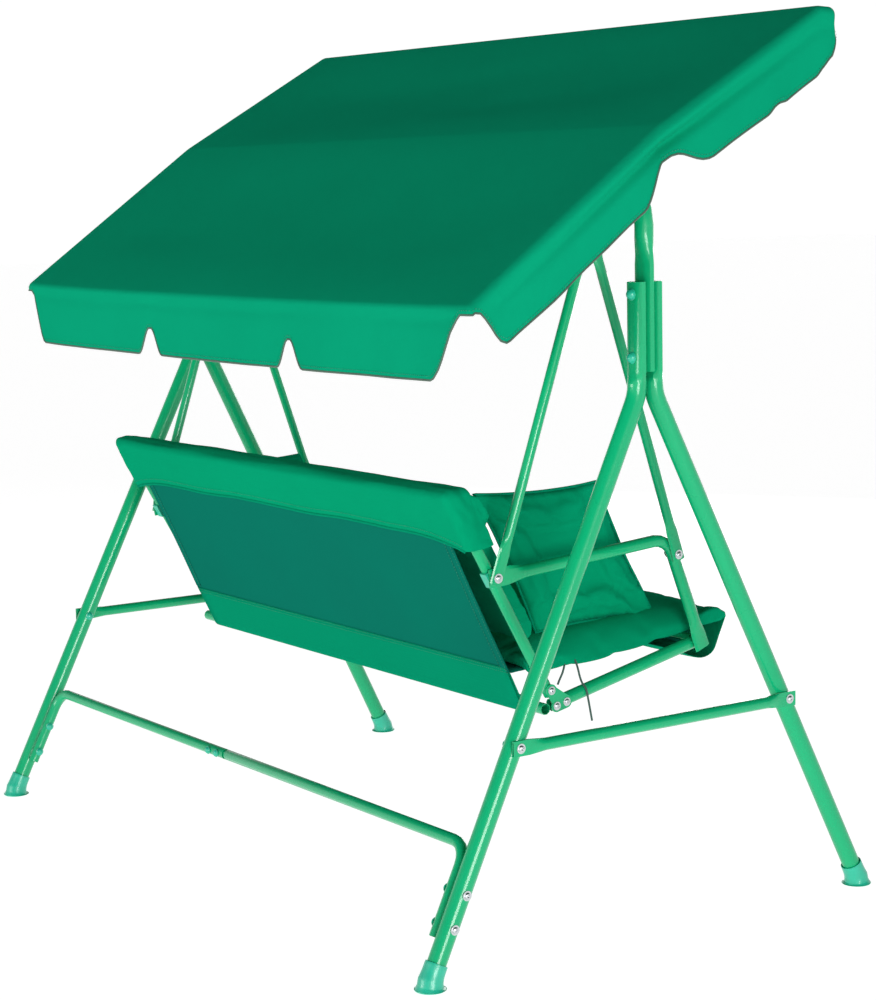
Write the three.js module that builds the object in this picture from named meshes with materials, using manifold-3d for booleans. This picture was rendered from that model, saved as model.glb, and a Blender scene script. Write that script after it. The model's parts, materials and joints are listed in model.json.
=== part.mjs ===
// A three-seat garden swing with a tilting fabric canopy.
// Units are millimetres, +Z is up, and the sitter faces -Y. The floor is Z = 0.
import * as THREE from 'three';
import Module from 'manifold-3d';
import { mergeVertices } from 'three/addons/utils/BufferGeometryUtils.js';

const wasm = await Module();
wasm.setup();

// ---------------------------------------------------------------- driving dimensions

const GAP = 0.4; // air left between pieces that touch

const LEG_RADIUS = 17.5;
const LEG_WALL = 1.4;
const LEG_PLANE = 840; // half the distance between the two leg frames, at the floor
const LEG_LEAN = 23.5 / 1057; // how far a leg leans inboard for each millimetre of height
const FOOT_SPREAD = 509.5; // from the middle to a foot, front or rear
const LEG_SLOPE = 525.4 / 1057; // how far a leg comes in for each millimetre of height
const LEG_END_HEIGHT = 14; // the middle of a leg's lower end
const LEG_TOP_HEIGHT = 1186;
const LEG_BEND = 80;
const LEG_TOP_HALF_THICKNESS = 10; // of the flattened top

const POST_HALF_THICKNESS = 8.5; // the beam's flattened lower end, held between the leg tops
const POST_BOTTOM = 1027;
const BEAM_HEIGHT = 1375;
const BEAM_BEND = 90;

const SPREADER_RADIUS = 11;
const SPREADER_HEIGHT = 394.5;
const CROSSBAR_RADIUS = 11;
const CROSSBAR_HEIGHT = 228;
const CROSSBAR_END_HEIGHT = 78;
const CROSSBAR_JOINT = 40;
const THIN_WALL = 1.3;

const PIVOT_HEIGHT = 1274; // the bolts that the seat swings on
const PIVOT_X = 662;
const EYE_RADIUS = 5.4;

const ARM_RADIUS = 9.5;
const ARMREST_RADIUS = 12;
const ARMREST_X = 645;
const SEAT_TUBE_RADIUS = 12.5;
const SEAT_TUBE_X = 627;
const BACK_TUBE_RADIUS = 11;
const BACK_TUBE_X = 628.5;
const BACK_LEAN = 29 * Math.PI / 180; // the back's angle from upright
const SEAT_SLOPE = 0.219; // the seat's rise toward the front
const SEAT_SHIFT = -6.5; // moves the whole seat front or rear so that it hangs level

const CANOPY_HALF_WIDTH = 863;
const CANOPY_AXIS_HEIGHT = 1437; // the middle of the tube that the canopy tilts about
const CANOPY_TUBE_RADIUS = 9.5;
const CANOPY_CENTRE_RADIUS = 11;
const CANOPY_RAIL_X = 848;
const FABRIC = 2;

// ---------------------------------------------------------------- finishes

const paint = new THREE.MeshStandardMaterial({ color: 0x14b97d, roughness: 0.3, metalness: 0.1 });
const plastic = new THREE.MeshStandardMaterial({ color: 0x2fb393, roughness: 0.45, metalness: 0 });
const steel = new THREE.MeshStandardMaterial({ color: 0xc8ccd0, roughness: 0.35, metalness: 0.9 });
const canopyCloth = new THREE.MeshStandardMaterial({ color: 0x0a6b4a, roughness: 0.9, metalness: 0 });
const cushionCloth = new THREE.MeshStandardMaterial({ color: 0x067a54, roughness: 0.9, metalness: 0 });
const slingCloth = new THREE.MeshStandardMaterial({ color: 0x12705e, roughness: 0.85, metalness: 0 });
const tape = new THREE.MeshStandardMaterial({ color: 0x2f4a44, roughness: 0.9, metalness: 0 });

// ---------------------------------------------------------------- geometry helpers

const vec = (x, y, z) => new THREE.Vector3(x, y, z);
const X_AXIS = vec(1, 0, 0);
const Y_AXIS = vec(0, 1, 0);
const Z_AXIS = vec(0, 0, 1);

// Leaves only merged positions, with every triangle facing out.
function tidy(geometry) {
  geometry.deleteAttribute('normal');
  if (geometry.getAttribute('uv')) geometry.deleteAttribute('uv');
  const merged = mergeVertices(geometry, 1e-4);
  const p = merged.getAttribute('position');
  const index = merged.getIndex();
  const a = vec(0, 0, 0);
  const b = vec(0, 0, 0);
  const c = vec(0, 0, 0);
  const kept = [];
  let volume = 0;
  for (let i = 0; i < index.count; i += 3) {
    const [ia, ib, ic] = [index.getX(i), index.getX(i + 1), index.getX(i + 2)];
    if (ia === ib || ib === ic || ia === ic) continue;
    kept.push(ia, ib, ic);
    a.fromBufferAttribute(p, ia);
    b.fromBufferAttribute(p, ib);
    c.fromBufferAttribute(p, ic);
    volume += a.dot(b.cross(c)) / 6;
  }
  if (volume < 0) {
    for (let i = 0; i < kept.length; i += 3) [kept[i], kept[i + 1]] = [kept[i + 1], kept[i]];
  }
  merged.setIndex(kept);
  return merged;
}

function toSolid(geometry) {
  const clean = tidy(geometry.clone());
  return new wasm.Manifold(new wasm.Mesh({
    numProp: 3,
    vertProperties: new Float32Array(clean.getAttribute('position').array),
    triVerts: new Uint32Array(clean.getIndex().array),
  }));
}

function fromSolid(solid) {
  const mesh = solid.getMesh();
  const geometry = new THREE.BufferGeometry();
  geometry.setAttribute('position', new THREE.BufferAttribute(new Float32Array(mesh.vertProperties), 3));
  geometry.setIndex(Array.from(mesh.triVerts));
  return geometry;
}

function join(first, ...others) {
  return fromSolid(others.reduce((sum, g) => sum.add(toSolid(g)), toSolid(first)));
}

function cut(first, ...others) {
  return fromSolid(others.reduce((rest, g) => rest.subtract(toSolid(g)), toSolid(first)));
}

// A round bar between two points.
function rod(from, to, radius, sides = 16, endRadius = radius) {
  const length = from.distanceTo(to);
  const geometry = new THREE.CylinderGeometry(endRadius, radius, length, sides);
  const turn = new THREE.Quaternion().setFromUnitVectors(Y_AXIS, to.clone().sub(from).normalize());
  geometry.applyQuaternion(turn);
  geometry.translate((from.x + to.x) / 2, (from.y + to.y) / 2, (from.z + to.z) / 2);
  return geometry;
}

// A solid turned about the X axis through (y, z), from [x, radius] steps.
function turnedAlongX(steps, y, z, sides = 16) {
  const profile = steps.map(([x, radius]) => new THREE.Vector2(radius, x));
  const geometry = new THREE.LatheGeometry(profile, sides);
  geometry.applyMatrix4(new THREE.Matrix4().makeRotationZ(-Math.PI / 2));
  geometry.translate(0, y, z);
  return geometry;
}

// An outline in the YZ plane, given as [y, z] points, stretched from x0 to x1.
function prismAlongX(outline, x0, x1) {
  const shape = new THREE.Shape(outline.map(([y, z]) => new THREE.Vector2(y, z)));
  const geometry = new THREE.ExtrudeGeometry(shape, { depth: x1 - x0, bevelEnabled: false });
  geometry.applyMatrix4(new THREE.Matrix4().makeBasis(Y_AXIS, Z_AXIS, X_AXIS));
  geometry.translate(x0, 0, 0);
  return geometry;
}

// An outline in the XZ plane, given as [x, z] points, stretched from y0 to y1.
function prismAlongY(outline, y0, y1) {
  const shape = new THREE.Shape(outline.map(([x, z]) => new THREE.Vector2(x, z)));
  const geometry = new THREE.ExtrudeGeometry(shape, { depth: y1 - y0, bevelEnabled: false });
  geometry.applyMatrix4(new THREE.Matrix4().makeBasis(X_AXIS, Z_AXIS, Y_AXIS));
  geometry.translate(0, y0, 0);
  return geometry;
}

// A path of straight runs and round bends, held as stations so that a straight run is one step.
class StationPath extends THREE.Curve {
  constructor(stations) {
    super();
    this.stations = stations;
  }

  station(u) {
    return this.stations[Math.round(u * (this.stations.length - 1))];
  }

  getPoint(u, target = new THREE.Vector3()) {
    return target.copy(this.station(u).point);
  }

  getPointAt(u, target = new THREE.Vector3()) {
    return target.copy(this.station(u).point);
  }

  getTangentAt(u, target = new THREE.Vector3()) {
    return target.copy(this.station(u).tangent);
  }
}

function stationsAlong(corners, bend, firstStops, lastStops) {
  const stations = [];
  const last = corners.length - 1;
  const heading = (i) => corners[i + 1].clone().sub(corners[i]).normalize();
  stations.push({ point: corners[0].clone(), tangent: heading(0) });
  for (const stop of firstStops) {
    stations.push({ point: corners[0].clone().addScaledVector(heading(0), stop), tangent: heading(0) });
  }
  for (let i = 1; i < last; i += 1) {
    const before = heading(i - 1);
    const after = heading(i);
    const angle = before.angleTo(after);
    const axis = before.clone().cross(after).normalize();
    const reach = bend * Math.tan(angle / 2);
    const start = corners[i].clone().addScaledVector(before, -reach);
    const centre = start.clone().addScaledVector(axis.clone().cross(before), bend);
    const arm = start.clone().sub(centre);
    const steps = Math.max(3, Math.ceil(angle / (22 * Math.PI / 180)));
    for (let k = 0; k <= steps; k += 1) {
      const turn = angle * k / steps;
      stations.push({
        point: centre.clone().add(arm.clone().applyAxisAngle(axis, turn)),
        tangent: before.clone().applyAxisAngle(axis, turn),
      });
    }
  }
  const end = corners[last];
  const back = heading(last - 1).negate();
  for (const stop of [...lastStops].reverse()) {
    stations.push({ point: end.clone().addScaledVector(back, stop), tangent: heading(last - 1) });
  }
  stations.push({ point: end.clone(), tangent: heading(last - 1) });
  return stations;
}

// A point on a flattened tube's outline: two half circles and two flats, as long as the round one.
function flattenedPoint(angle, halfWidth, halfThickness) {
  const flat = halfWidth - halfThickness;
  const quarter = flat + halfThickness * Math.PI / 2;
  const folded = Math.atan2(Math.abs(Math.sin(angle)), Math.abs(Math.cos(angle)));
  const travelled = quarter * folded / (Math.PI / 2);
  const arc = Math.min(travelled / halfThickness, Math.PI / 2);
  const beyond = Math.max(0, travelled - halfThickness * Math.PI / 2);
  const a = flat + halfThickness * Math.cos(arc) - beyond;
  const b = halfThickness * Math.sin(arc);
  return [a * Math.sign(Math.cos(angle)), b * Math.sign(Math.sin(angle))];
}

// Presses a tube's end flat, or draws it down to a smaller round.
function reshapeEnd(geometry, end, inward, radius, wall, form) {
  const wide = form.wide.clone().addScaledVector(inward, -form.wide.dot(inward)).normalize();
  const thin = inward.clone().cross(wide);
  const p = geometry.getAttribute('position');
  const v = vec(0, 0, 0);
  for (let i = 0; i < p.count; i += 1) {
    v.fromBufferAttribute(p, i).sub(end);
    const along = v.dot(inward);
    if (along > form.flat + form.taper - 1e-3) continue;
    const a = v.dot(wide);
    const b = v.dot(thin);
    const reach = Math.hypot(a, b);
    if (along < -1 || reach > radius * 1.2) continue;
    const inner = reach < radius - wall / 2 ? wall : 0;
    const angle = Math.atan2(b, a);
    const aim = flattenedPoint(angle, form.halfWidth - inner, form.halfThickness - inner);
    const u = Math.min(1, Math.max(0, (along - form.flat) / form.taper));
    const keep = u * u * (3 - 2 * u);
    const na = a * keep + aim[0] * (1 - keep);
    const nb = b * keep + aim[1] * (1 - keep);
    const moved = end.clone().addScaledVector(inward, along);
    moved.addScaledVector(wide, na).addScaledVector(thin, nb);
    p.setXYZ(i, moved.x, moved.y, moved.z);
  }
}

// A hollow tube, open at both ends, along straight runs with round bends between them.
function tube({ corners, bend = 40, radius, wall = THIN_WALL, sides = 10, first, last }) {
  const circle = (r) => Array.from({ length: sides }, (_, i) => {
    const angle = 2 * Math.PI * (i + 0.5) / sides;
    return new THREE.Vector2(r * Math.cos(angle), r * Math.sin(angle));
  });
  const stops = (form) => (form ? [form.flat, form.flat + form.taper / 2, form.flat + form.taper] : []);
  const stations = stationsAlong(corners, bend, stops(first), stops(last));
  const shape = new THREE.Shape(circle(radius));
  shape.holes.push(new THREE.Path(circle(radius - wall)));
  const geometry = tidy(new THREE.ExtrudeGeometry(shape, {
    steps: stations.length - 1,
    bevelEnabled: false,
    extrudePath: new StationPath(stations),
  }));
  const start = corners[0];
  const end = corners[corners.length - 1];
  const headingTo = (from, to) => to.clone().sub(from).normalize();
  if (first) reshapeEnd(geometry, start, headingTo(start, corners[1]), radius, wall, first);
  if (last) reshapeEnd(geometry, end, headingTo(end, corners[corners.length - 2]), radius, wall, last);
  return geometry;
}

// The half width that a tube of this radius spreads to when it is pressed to a half thickness.
function spreadWidth(radius, halfThickness) {
  return halfThickness + (2 * Math.PI * radius - 2 * Math.PI * halfThickness) / 4;
}

function pressed(radius, halfThickness, flat, taper, wide) {
  return { halfWidth: spreadWidth(radius, halfThickness), halfThickness, flat, taper, wide };
}

function swaged(radius, flat) {
  return { halfWidth: radius + 1e-4, halfThickness: radius, flat, taper: 5, wide: Z_AXIS };
}

// ---------------------------------------------------------------- the assembly

const swing = new THREE.Group();

function add(name, geometry, material) {
  const mesh = new THREE.Mesh(tidy(geometry), material);
  mesh.name = name;
  swing.add(mesh);
}

const SIDES = [['left', -1], ['right', 1]];
const ENDS = [['rear', 1], ['front', -1]];

const legX = (z) => LEG_PLANE - LEG_LEAN * z;
const legY = (z) => FOOT_SPREAD - LEG_SLOPE * z;

// ---------------------------------------------------------------- fixed frame

const legTopY = POST_HALF_THICKNESS + GAP + LEG_TOP_HALF_THICKNESS;
const legCornerHeight = (FOOT_SPREAD - legTopY) / LEG_SLOPE;
const legTopX = legX(legCornerHeight);
const LEG_BOLT_HEIGHTS = [['upper', 1164], ['lower', 1052]];
const LEG_BOLT_RADIUS = 4;

function boltAlongY(x, z, headY, nutY, radius) {
  const head = rod(vec(x, headY, z), vec(x, headY + 5, z), radius * 2, 8, radius * 1.5);
  const nut = rod(vec(x, nutY - 6, z), vec(x, nutY, z), radius * 1.9, 6);
  const shank = rod(vec(x, nutY - 3, z), vec(x, headY + 2, z), radius, 8);
  return join(head, nut, shank);
}

for (const [side, sx] of SIDES) {
  const x = sx * legTopX;
  for (const [end, sy] of ENDS) {
    const foot = vec(sx * legX(LEG_END_HEIGHT), sy * legY(LEG_END_HEIGHT), LEG_END_HEIGHT);
    const corner = vec(x, sy * legTopY, legCornerHeight);
    const leg = tube({
      corners: [foot, corner, vec(x, sy * legTopY, LEG_TOP_HEIGHT)],
      bend: LEG_BEND,
      radius: LEG_RADIUS,
      wall: LEG_WALL,
      sides: 12,
      last: pressed(LEG_RADIUS, LEG_TOP_HALF_THICKNESS, 160, 20, X_AXIS),
    });
    const holes = LEG_BOLT_HEIGHTS.map(([, z]) => rod(
      vec(x, sy * legTopY - 20, z), vec(x, sy * legTopY + 20, z), LEG_BOLT_RADIUS + GAP, 8));
    add(`leg_${end}_${side}`, cut(leg, ...holes), paint);

    const up = corner.clone().sub(foot).normalize();
    const sole = new THREE.LatheGeometry([[0, 0], [27.5, 0], [27.5, 4], [24, 11], [20.5, 26], [0, 26]]
      .map(([r, h]) => new THREE.Vector2(r, h)), 16);
    sole.applyMatrix4(new THREE.Matrix4().makeRotationX(Math.PI / 2));
    sole.translate(foot.x, foot.y, 0);
    const onLeg = (distance) => foot.clone().addScaledVector(up, distance);
    const socket = rod(onLeg(-2), onLeg(36), 20.5, 14);
    const bore = rod(onLeg(-GAP), onLeg(60), LEG_RADIUS + 1, 14);
    add(`foot_cap_${end}_${side}`, cut(join(sole, socket), bore), plastic);
  }

  const spreaderX = sx * (legX(SPREADER_HEIGHT) + LEG_RADIUS + GAP + 2.7);
  const spreaderY = legY(SPREADER_HEIGHT) + 15;
  const flatEnd = pressed(SPREADER_RADIUS, 2.7, 34, 36, Z_AXIS);
  add(`side_spreader_${side}`, tube({
    corners: [vec(spreaderX, spreaderY, SPREADER_HEIGHT), vec(spreaderX, -spreaderY, SPREADER_HEIGHT)],
    radius: SPREADER_RADIUS,
    first: flatEnd,
    last: flatEnd,
  }), paint);

  const inset = LEG_RADIUS + CROSSBAR_RADIUS + GAP;
  const jointX = sx < 0 ? CROSSBAR_JOINT + 70 : CROSSBAR_JOINT;
  add(`rear_crossbar_${side}`, tube({
    corners: [
      vec(sx * (legX(CROSSBAR_END_HEIGHT) - inset), legY(CROSSBAR_END_HEIGHT), CROSSBAR_END_HEIGHT),
      vec(sx * (legX(CROSSBAR_HEIGHT) - inset), legY(CROSSBAR_HEIGHT), CROSSBAR_HEIGHT),
      vec(jointX, legY(CROSSBAR_HEIGHT), CROSSBAR_HEIGHT),
    ],
    bend: 38,
    radius: CROSSBAR_RADIUS,
    last: sx < 0 ? swaged(CROSSBAR_RADIUS - THIN_WALL - GAP, 74) : undefined,
  }), paint);

  const beam = tube({
    corners: [vec(x, 0, POST_BOTTOM), vec(x, 0, BEAM_HEIGHT), vec(sx < 0 ? 70 : 0, 0, BEAM_HEIGHT)],
    bend: BEAM_BEND,
    radius: LEG_RADIUS,
    wall: LEG_WALL,
    sides: 12,
    first: pressed(LEG_RADIUS, POST_HALF_THICKNESS, 190, 48, X_AXIS),
    last: sx < 0 ? swaged(LEG_RADIUS - LEG_WALL - GAP, 74) : undefined,
  });
  const beamHoles = LEG_BOLT_HEIGHTS.map(
    ([, z]) => rod(vec(x, -20, z), vec(x, 20, z), LEG_BOLT_RADIUS + GAP, 8));
  add(`top_beam_${side}`, cut(beam, ...beamHoles), paint);

  const stack = legTopY + LEG_TOP_HALF_THICKNESS + GAP;
  for (const [level, z] of LEG_BOLT_HEIGHTS) {
    add(`leg_top_bolt_${level}_${side}`, boltAlongY(x, z, stack, -stack, LEG_BOLT_RADIUS), steel);
  }
}

// ---------------------------------------------------------------- hangers on the beam

const HANGER_PLATE = 3;
const HANGER_INNER = PIVOT_X - 10;
const HANGER_OUTER = PIVOT_X + 10.2;

function hangerPlate(x) {
  const outline = [];
  for (let i = 0; i <= 8; i += 1) {
    const angle = Math.PI + Math.PI * i / 8;
    outline.push([13 * Math.cos(angle), PIVOT_HEIGHT + 13 * Math.sin(angle)]);
  }
  outline.push([21, BEAM_HEIGHT - 4], [-21, BEAM_HEIGHT - 4]);
  return prismAlongX(outline, x, x + HANGER_PLATE);
}

const CLAMP_X = 560;
const CLAMP_HALF = 11;

for (const [side, sx] of SIDES) {
  const from = (x) => sx * x;
  const span = (a, b) => (sx < 0 ? [-b, -a] : [a, b]);
  const [inner] = span(HANGER_INNER, HANGER_INNER + HANGER_PLATE);
  const [outer] = span(HANGER_OUTER - HANGER_PLATE, HANGER_OUTER);
  const barAlongX = (a, b, z, radius, sides) => rod(vec(from(a), 0, z), vec(from(b), 0, z), radius, sides);
  const collar = barAlongX(HANGER_INNER, HANGER_OUTER, BEAM_HEIGHT, 22, 14);
  const beamBore = barAlongX(600, 700, BEAM_HEIGHT, LEG_RADIUS + 1, 14);
  const boltBore = barAlongX(600, 700, PIVOT_HEIGHT, EYE_RADIUS, 10);
  add(`hanger_bracket_${side}`,
    cut(join(collar, hangerPlate(inner), hangerPlate(outer)), beamBore, boltBore), paint);

  const steps = [[HANGER_INNER - 7, 0], [HANGER_INNER - 7, 8.5], [HANGER_INNER - GAP, 8.5],
    [HANGER_INNER - GAP, 5], [HANGER_OUTER + GAP, 5], [HANGER_OUTER + GAP, 9], [HANGER_OUTER + 4, 8],
    [HANGER_OUTER + 6, 0]].map(([x, r]) => [from(x), r]);
  add(`hanger_pivot_bolt_${side}`, turnedAlongX(steps, 0, PIVOT_HEIGHT, 10), steel);

  const lower = barAlongX(CLAMP_X - CLAMP_HALF, CLAMP_X + CLAMP_HALF, BEAM_HEIGHT, 22.5, 14);
  const upper = barAlongX(CLAMP_X - CLAMP_HALF, CLAMP_X + CLAMP_HALF, CANOPY_AXIS_HEIGHT, 14.6, 14);
  const web = new THREE.BoxGeometry(2 * CLAMP_HALF, 14, CANOPY_AXIS_HEIGHT - BEAM_HEIGHT);
  web.translate(from(CLAMP_X), 0, (CANOPY_AXIS_HEIGHT + BEAM_HEIGHT) / 2);
  const low = barAlongX(500, 620, BEAM_HEIGHT, LEG_RADIUS + 1, 14);
  const high = barAlongX(500, 620, CANOPY_AXIS_HEIGHT, CANOPY_CENTRE_RADIUS + GAP + 0.3, 14);
  const opening = new THREE.BoxGeometry(60, 60, 20);
  opening.translate(from(CLAMP_X), 0, CANOPY_AXIS_HEIGHT + 13);
  const knobPoint = (out) => vec(from(CLAMP_X), -out, CANOPY_AXIS_HEIGHT - 2);
  const screwBore = rod(knobPoint(5), knobPoint(30), 2.9, 8);
  add(`canopy_clamp_${side}`, cut(join(lower, upper, web), low, high, opening, screwBore), paint);

  const screw = rod(knobPoint(CANOPY_CENTRE_RADIUS + GAP), knobPoint(22), 2.4, 8);
  const hub = rod(knobPoint(15.2), knobPoint(32), 8, 10);
  const wing = new THREE.BoxGeometry(30, 12, 6);
  wing.translate(from(CLAMP_X), -26, CANOPY_AXIS_HEIGHT - 2);
  add(`canopy_knob_${side}`, join(screw, hub, wing), plastic);
}

// ---------------------------------------------------------------- hanging seat frame

const seatPoint = (x, y, z) => vec(x, y + SEAT_SHIFT, z);
const backStart = [92, 430]; // where the back tube's axis crosses the corner plate
const backAlong = [Math.sin(BACK_LEAN), Math.cos(BACK_LEAN)];
const backFront = [-Math.cos(BACK_LEAN), Math.sin(BACK_LEAN)];
const onBack = (up, out = 0) => [
  backStart[0] + backAlong[0] * up + backFront[0] * out,
  backStart[1] + backAlong[1] * up + backFront[1] * out,
];
const seatAxisHeight = (y) => 404 + (59 - y) * SEAT_SLOPE;

const rearBolt = [217, 655.5];
const frontBolt = [-200, 657];
const armrestCorner = [-187.5, 688];
const armrestFoot = [-270, 476];
const lowerTube = [104, 396];
const backTop = 440;
const topTube = onBack(429);
const frontTube = [-275, seatAxisHeight(-275)];

function swingArm(sx, topX, bottomX, [y, z]) {
  const top = seatPoint(sx * topX, -SEAT_SHIFT, PIVOT_HEIGHT);
  const bottom = seatPoint(sx * bottomX, y, z);
  const along = bottom.clone().sub(top).normalize();
  const wide = along.clone().cross(X_AXIS).normalize();
  const body = tube({
    corners: [top.clone().addScaledVector(along, -12), bottom.clone().addScaledVector(along, 12)],
    radius: ARM_RADIUS,
    first: pressed(ARM_RADIUS, 2.5, 55, 40, wide),
    last: pressed(ARM_RADIUS, 2.5, 58, 36, wide),
  });
  const acrossX = (point, distance) => point.clone().addScaledVector(X_AXIS, distance);
  const eye = rod(acrossX(top, -20), acrossX(top, 20), EYE_RADIUS, 10);
  const hole = rod(acrossX(bottom, -20), acrossX(bottom, 20), 3.5, 8);
  return cut(body, eye, hole);
}

function crossTube(halfLength, [y, z], radius) {
  return tube({ corners: [seatPoint(-halfLength, y, z), seatPoint(halfLength, y, z)], radius });
}

for (const [side, sx] of SIDES) {
  add(`swing_arm_rear_${side}`, swingArm(sx, 659, 650.6, rearBolt), paint);
  add(`swing_arm_front_${side}`, swingArm(sx, 665.2, 660.6, frontBolt), paint);

  const throughX = ([y, z], a, b, r) => rod(seatPoint(sx * a, y, z), seatPoint(sx * b, y, z), r, 8);
  const runDirection = [rearBolt[0] - armrestCorner[0], rearBolt[1] - armrestCorner[1]];
  const runLength = Math.hypot(...runDirection);
  const rearEnd = rearBolt.map((v, i) => v + 14 * runDirection[i] / runLength);
  const dropDirection = [armrestFoot[0] - armrestCorner[0], armrestFoot[1] - armrestCorner[1]];
  const dropLength = Math.hypot(...dropDirection);
  const frontEnd = armrestFoot.map((v, i) => v + 13 * dropDirection[i] / dropLength);
  const armrest = tube({
    corners: [
      seatPoint(sx * ARMREST_X, ...rearEnd),
      seatPoint(sx * ARMREST_X, ...armrestCorner),
      seatPoint(sx * ARMREST_X, ...frontEnd),
    ],
    bend: 45,
    radius: ARMREST_RADIUS,
    first: pressed(ARMREST_RADIUS, 2.4, 42, 38, Z_AXIS),
    last: pressed(ARMREST_RADIUS, 2.4, 30, 38, Y_AXIS),
  });
  const armrestHoles = [rearBolt, frontBolt].map((place) => throughX(place, 620, 670, 3.4));
  add(`armrest_${side}`, cut(armrest, ...armrestHoles), paint);

  add(`seat_side_tube_${side}`, tube({
    corners: [83, -290].map((y) => seatPoint(sx * SEAT_TUBE_X, y, seatAxisHeight(y))),
    radius: SEAT_TUBE_RADIUS,
  }), paint);

  const backTube = tube({
    corners: [seatPoint(sx * BACK_TUBE_X, ...onBack(-12)), seatPoint(sx * BACK_TUBE_X, ...onBack(backTop))],
    radius: BACK_TUBE_RADIUS,
  });
  add(`back_side_tube_${side}`, cut(backTube, throughX(rearBolt, 600, 660, 3.4)), paint);

  // The saddle is a moulded block that fits round the back tube under the armrest's end.
  const rise = (rearBolt[1] - backStart[1]) / backAlong[1];
  const saddleEnds = [BACK_TUBE_X - 6, 642.1].map((x) => sx * x).sort((a, b) => a - b);
  const block = prismAlongX([onBack(rise - 15, -14), onBack(rise + 15, -14), onBack(rise + 15, 14),
    onBack(rise - 15, 14)], ...saddleEnds);
  const onTube = (up) => seatPoint(sx * BACK_TUBE_X, ...onBack(up));
  const tubeBore = rod(onTube(rise - 60), onTube(rise + 60), BACK_TUBE_RADIUS + 0.7, 12);
  block.translate(0, SEAT_SHIFT, 0);
  add(`armrest_saddle_${side}`, cut(block, tubeBore, throughX(rearBolt, 600, 660, 3.4)), plastic);

  const boltSteps = (inner, outer) => [[inner, 0], [inner, 5.4], [inner + 6.3, 5.4], [inner + 6.3, 3], [outer, 3],
    [outer, 6], [outer + 3.8, 4.6], [outer + 3.8, 0]].map(([x, r]) => [sx * x, r]);
  const rearTurned = turnedAlongX(boltSteps(610.8, 653.6), rearBolt[0] + SEAT_SHIFT, rearBolt[1], 8);
  add(`arm_bolt_rear_${side}`, rearTurned, steel);
  const frontTurned = turnedAlongX(boltSteps(626.3, 663.2), frontBolt[0] + SEAT_SHIFT, frontBolt[1], 8);
  add(`arm_bolt_front_${side}`, frontTurned, steel);

  // The corner plate joins the back tube to the seat tube, rounded off about its three bolts.
  const plateBolts = [[57, 404.4], [80, 399.4], [92, 430]];
  const plateX = SEAT_TUBE_X + SEAT_TUBE_RADIUS + GAP + 0.2;
  const discs = plateBolts.map(
    ([y, z]) => rod(seatPoint(sx * plateX, y, z), seatPoint(sx * (plateX + 3), y, z), 12, 12));
  const filler = prismAlongX([[57, 392.4], [80, 387.4], [104, 430], [92, 442], [50, 414]],
    sx < 0 ? -plateX - 3 : plateX, sx < 0 ? -plateX : plateX + 3);
  filler.translate(0, SEAT_SHIFT, 0);
  add(`corner_plate_${side}`, join(filler, ...discs), paint);
}

add('back_top_tube', crossTube(BACK_TUBE_X - BACK_TUBE_RADIUS - GAP, topTube, 11), paint);
add('seat_rear_tube', crossTube(639.6, lowerTube, 11), paint);
add('seat_front_tube', crossTube(SEAT_TUBE_X - SEAT_TUBE_RADIUS - GAP, frontTube, 11), paint);

// ---------------------------------------------------------------- sling and cushions

const HEM_OUTER = 14.4;
const HEM_INNER = 11.9;
const SLING_HALF = 592;

function hem([y, z], radius) {
  return rod(seatPoint(-SLING_HALF, y, z), seatPoint(SLING_HALF, y, z), radius, 12);
}

function strip(a, b, side, from, to) {
  const run = [b[0] - a[0], b[1] - a[1]];
  const length = Math.hypot(...run);
  const normal = [side * run[1] / length, -side * run[0] / length];
  const at = (p, d) => [p[0] + normal[0] * d, p[1] + normal[1] * d];
  const geometry = prismAlongX([at(a, from), at(b, from), at(b, to), at(a, to)], -SLING_HALF, SLING_HALF);
  geometry.translate(0, SEAT_SHIFT, 0);
  return geometry;
}

const bore = ([y, z]) => rod(seatPoint(-700, y, z), seatPoint(700, y, z), HEM_INNER, 12);

const backStrip = strip(lowerTube, topTube, 1, HEM_INNER, HEM_OUTER);
add('back_sling', cut(
  join(hem(topTube, HEM_OUTER), hem(lowerTube, HEM_OUTER), backStrip), bore(topTube), bore(lowerTube)), slingCloth);

// The seat's sling is sewn to the back's sling above the rear tube, so it lies nearly level.
const slingJoint = [148.4, 464.4];
const frontHemTop = [frontTube[0], frontTube[1] + HEM_OUTER];
const slingRun = [frontHemTop[0] - slingJoint[0], frontHemTop[1] - slingJoint[1]];
const slingHeight = (y) => slingJoint[1] + slingRun[1] * (y - slingJoint[0]) / slingRun[0];
const slingThickness = HEM_OUTER - HEM_INNER;
const slingStrip = prismAlongX([slingJoint, frontHemTop, [frontHemTop[0], frontHemTop[1] - slingThickness],
  [slingJoint[0] - 1, slingJoint[1] - slingThickness]], -SLING_HALF, SLING_HALF);
add('seat_sling', cut(
  join(hem(frontTube, HEM_OUTER), slingStrip.translate(0, SEAT_SHIFT, 0)), bore(frontTube)), slingCloth);

const CUSHION_HALF = 600;
const HOOD_HALF = 647;
const shifted = (geometry) => geometry.translate(0, SEAT_SHIFT, 0);

// The seat cushion from the side: a flat pad, and a pocket of its cover that hangs round the front tube.
const CUSHION_GAP = 1.5;
const cushionOutline = [
  [125, slingHeight(125) + CUSHION_GAP], [-262, slingHeight(-262) + CUSHION_GAP], [-345, 493],
  [-362, 488], [-349, 437], [-337, 431], [-316, 428.5], [-231.5, 464],
  [-230, 460], [-315, 424.5], [-340, 427], [-353, 434], [-374, 496], [-376, 508], [-370, 522], [-350, 530],
  [-300, 531], [110, 507], [125, 497],
];
add('seat_cushion', shifted(prismAlongX(cushionOutline, -CUSHION_HALF, CUSHION_HALF)), cushionCloth);

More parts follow.
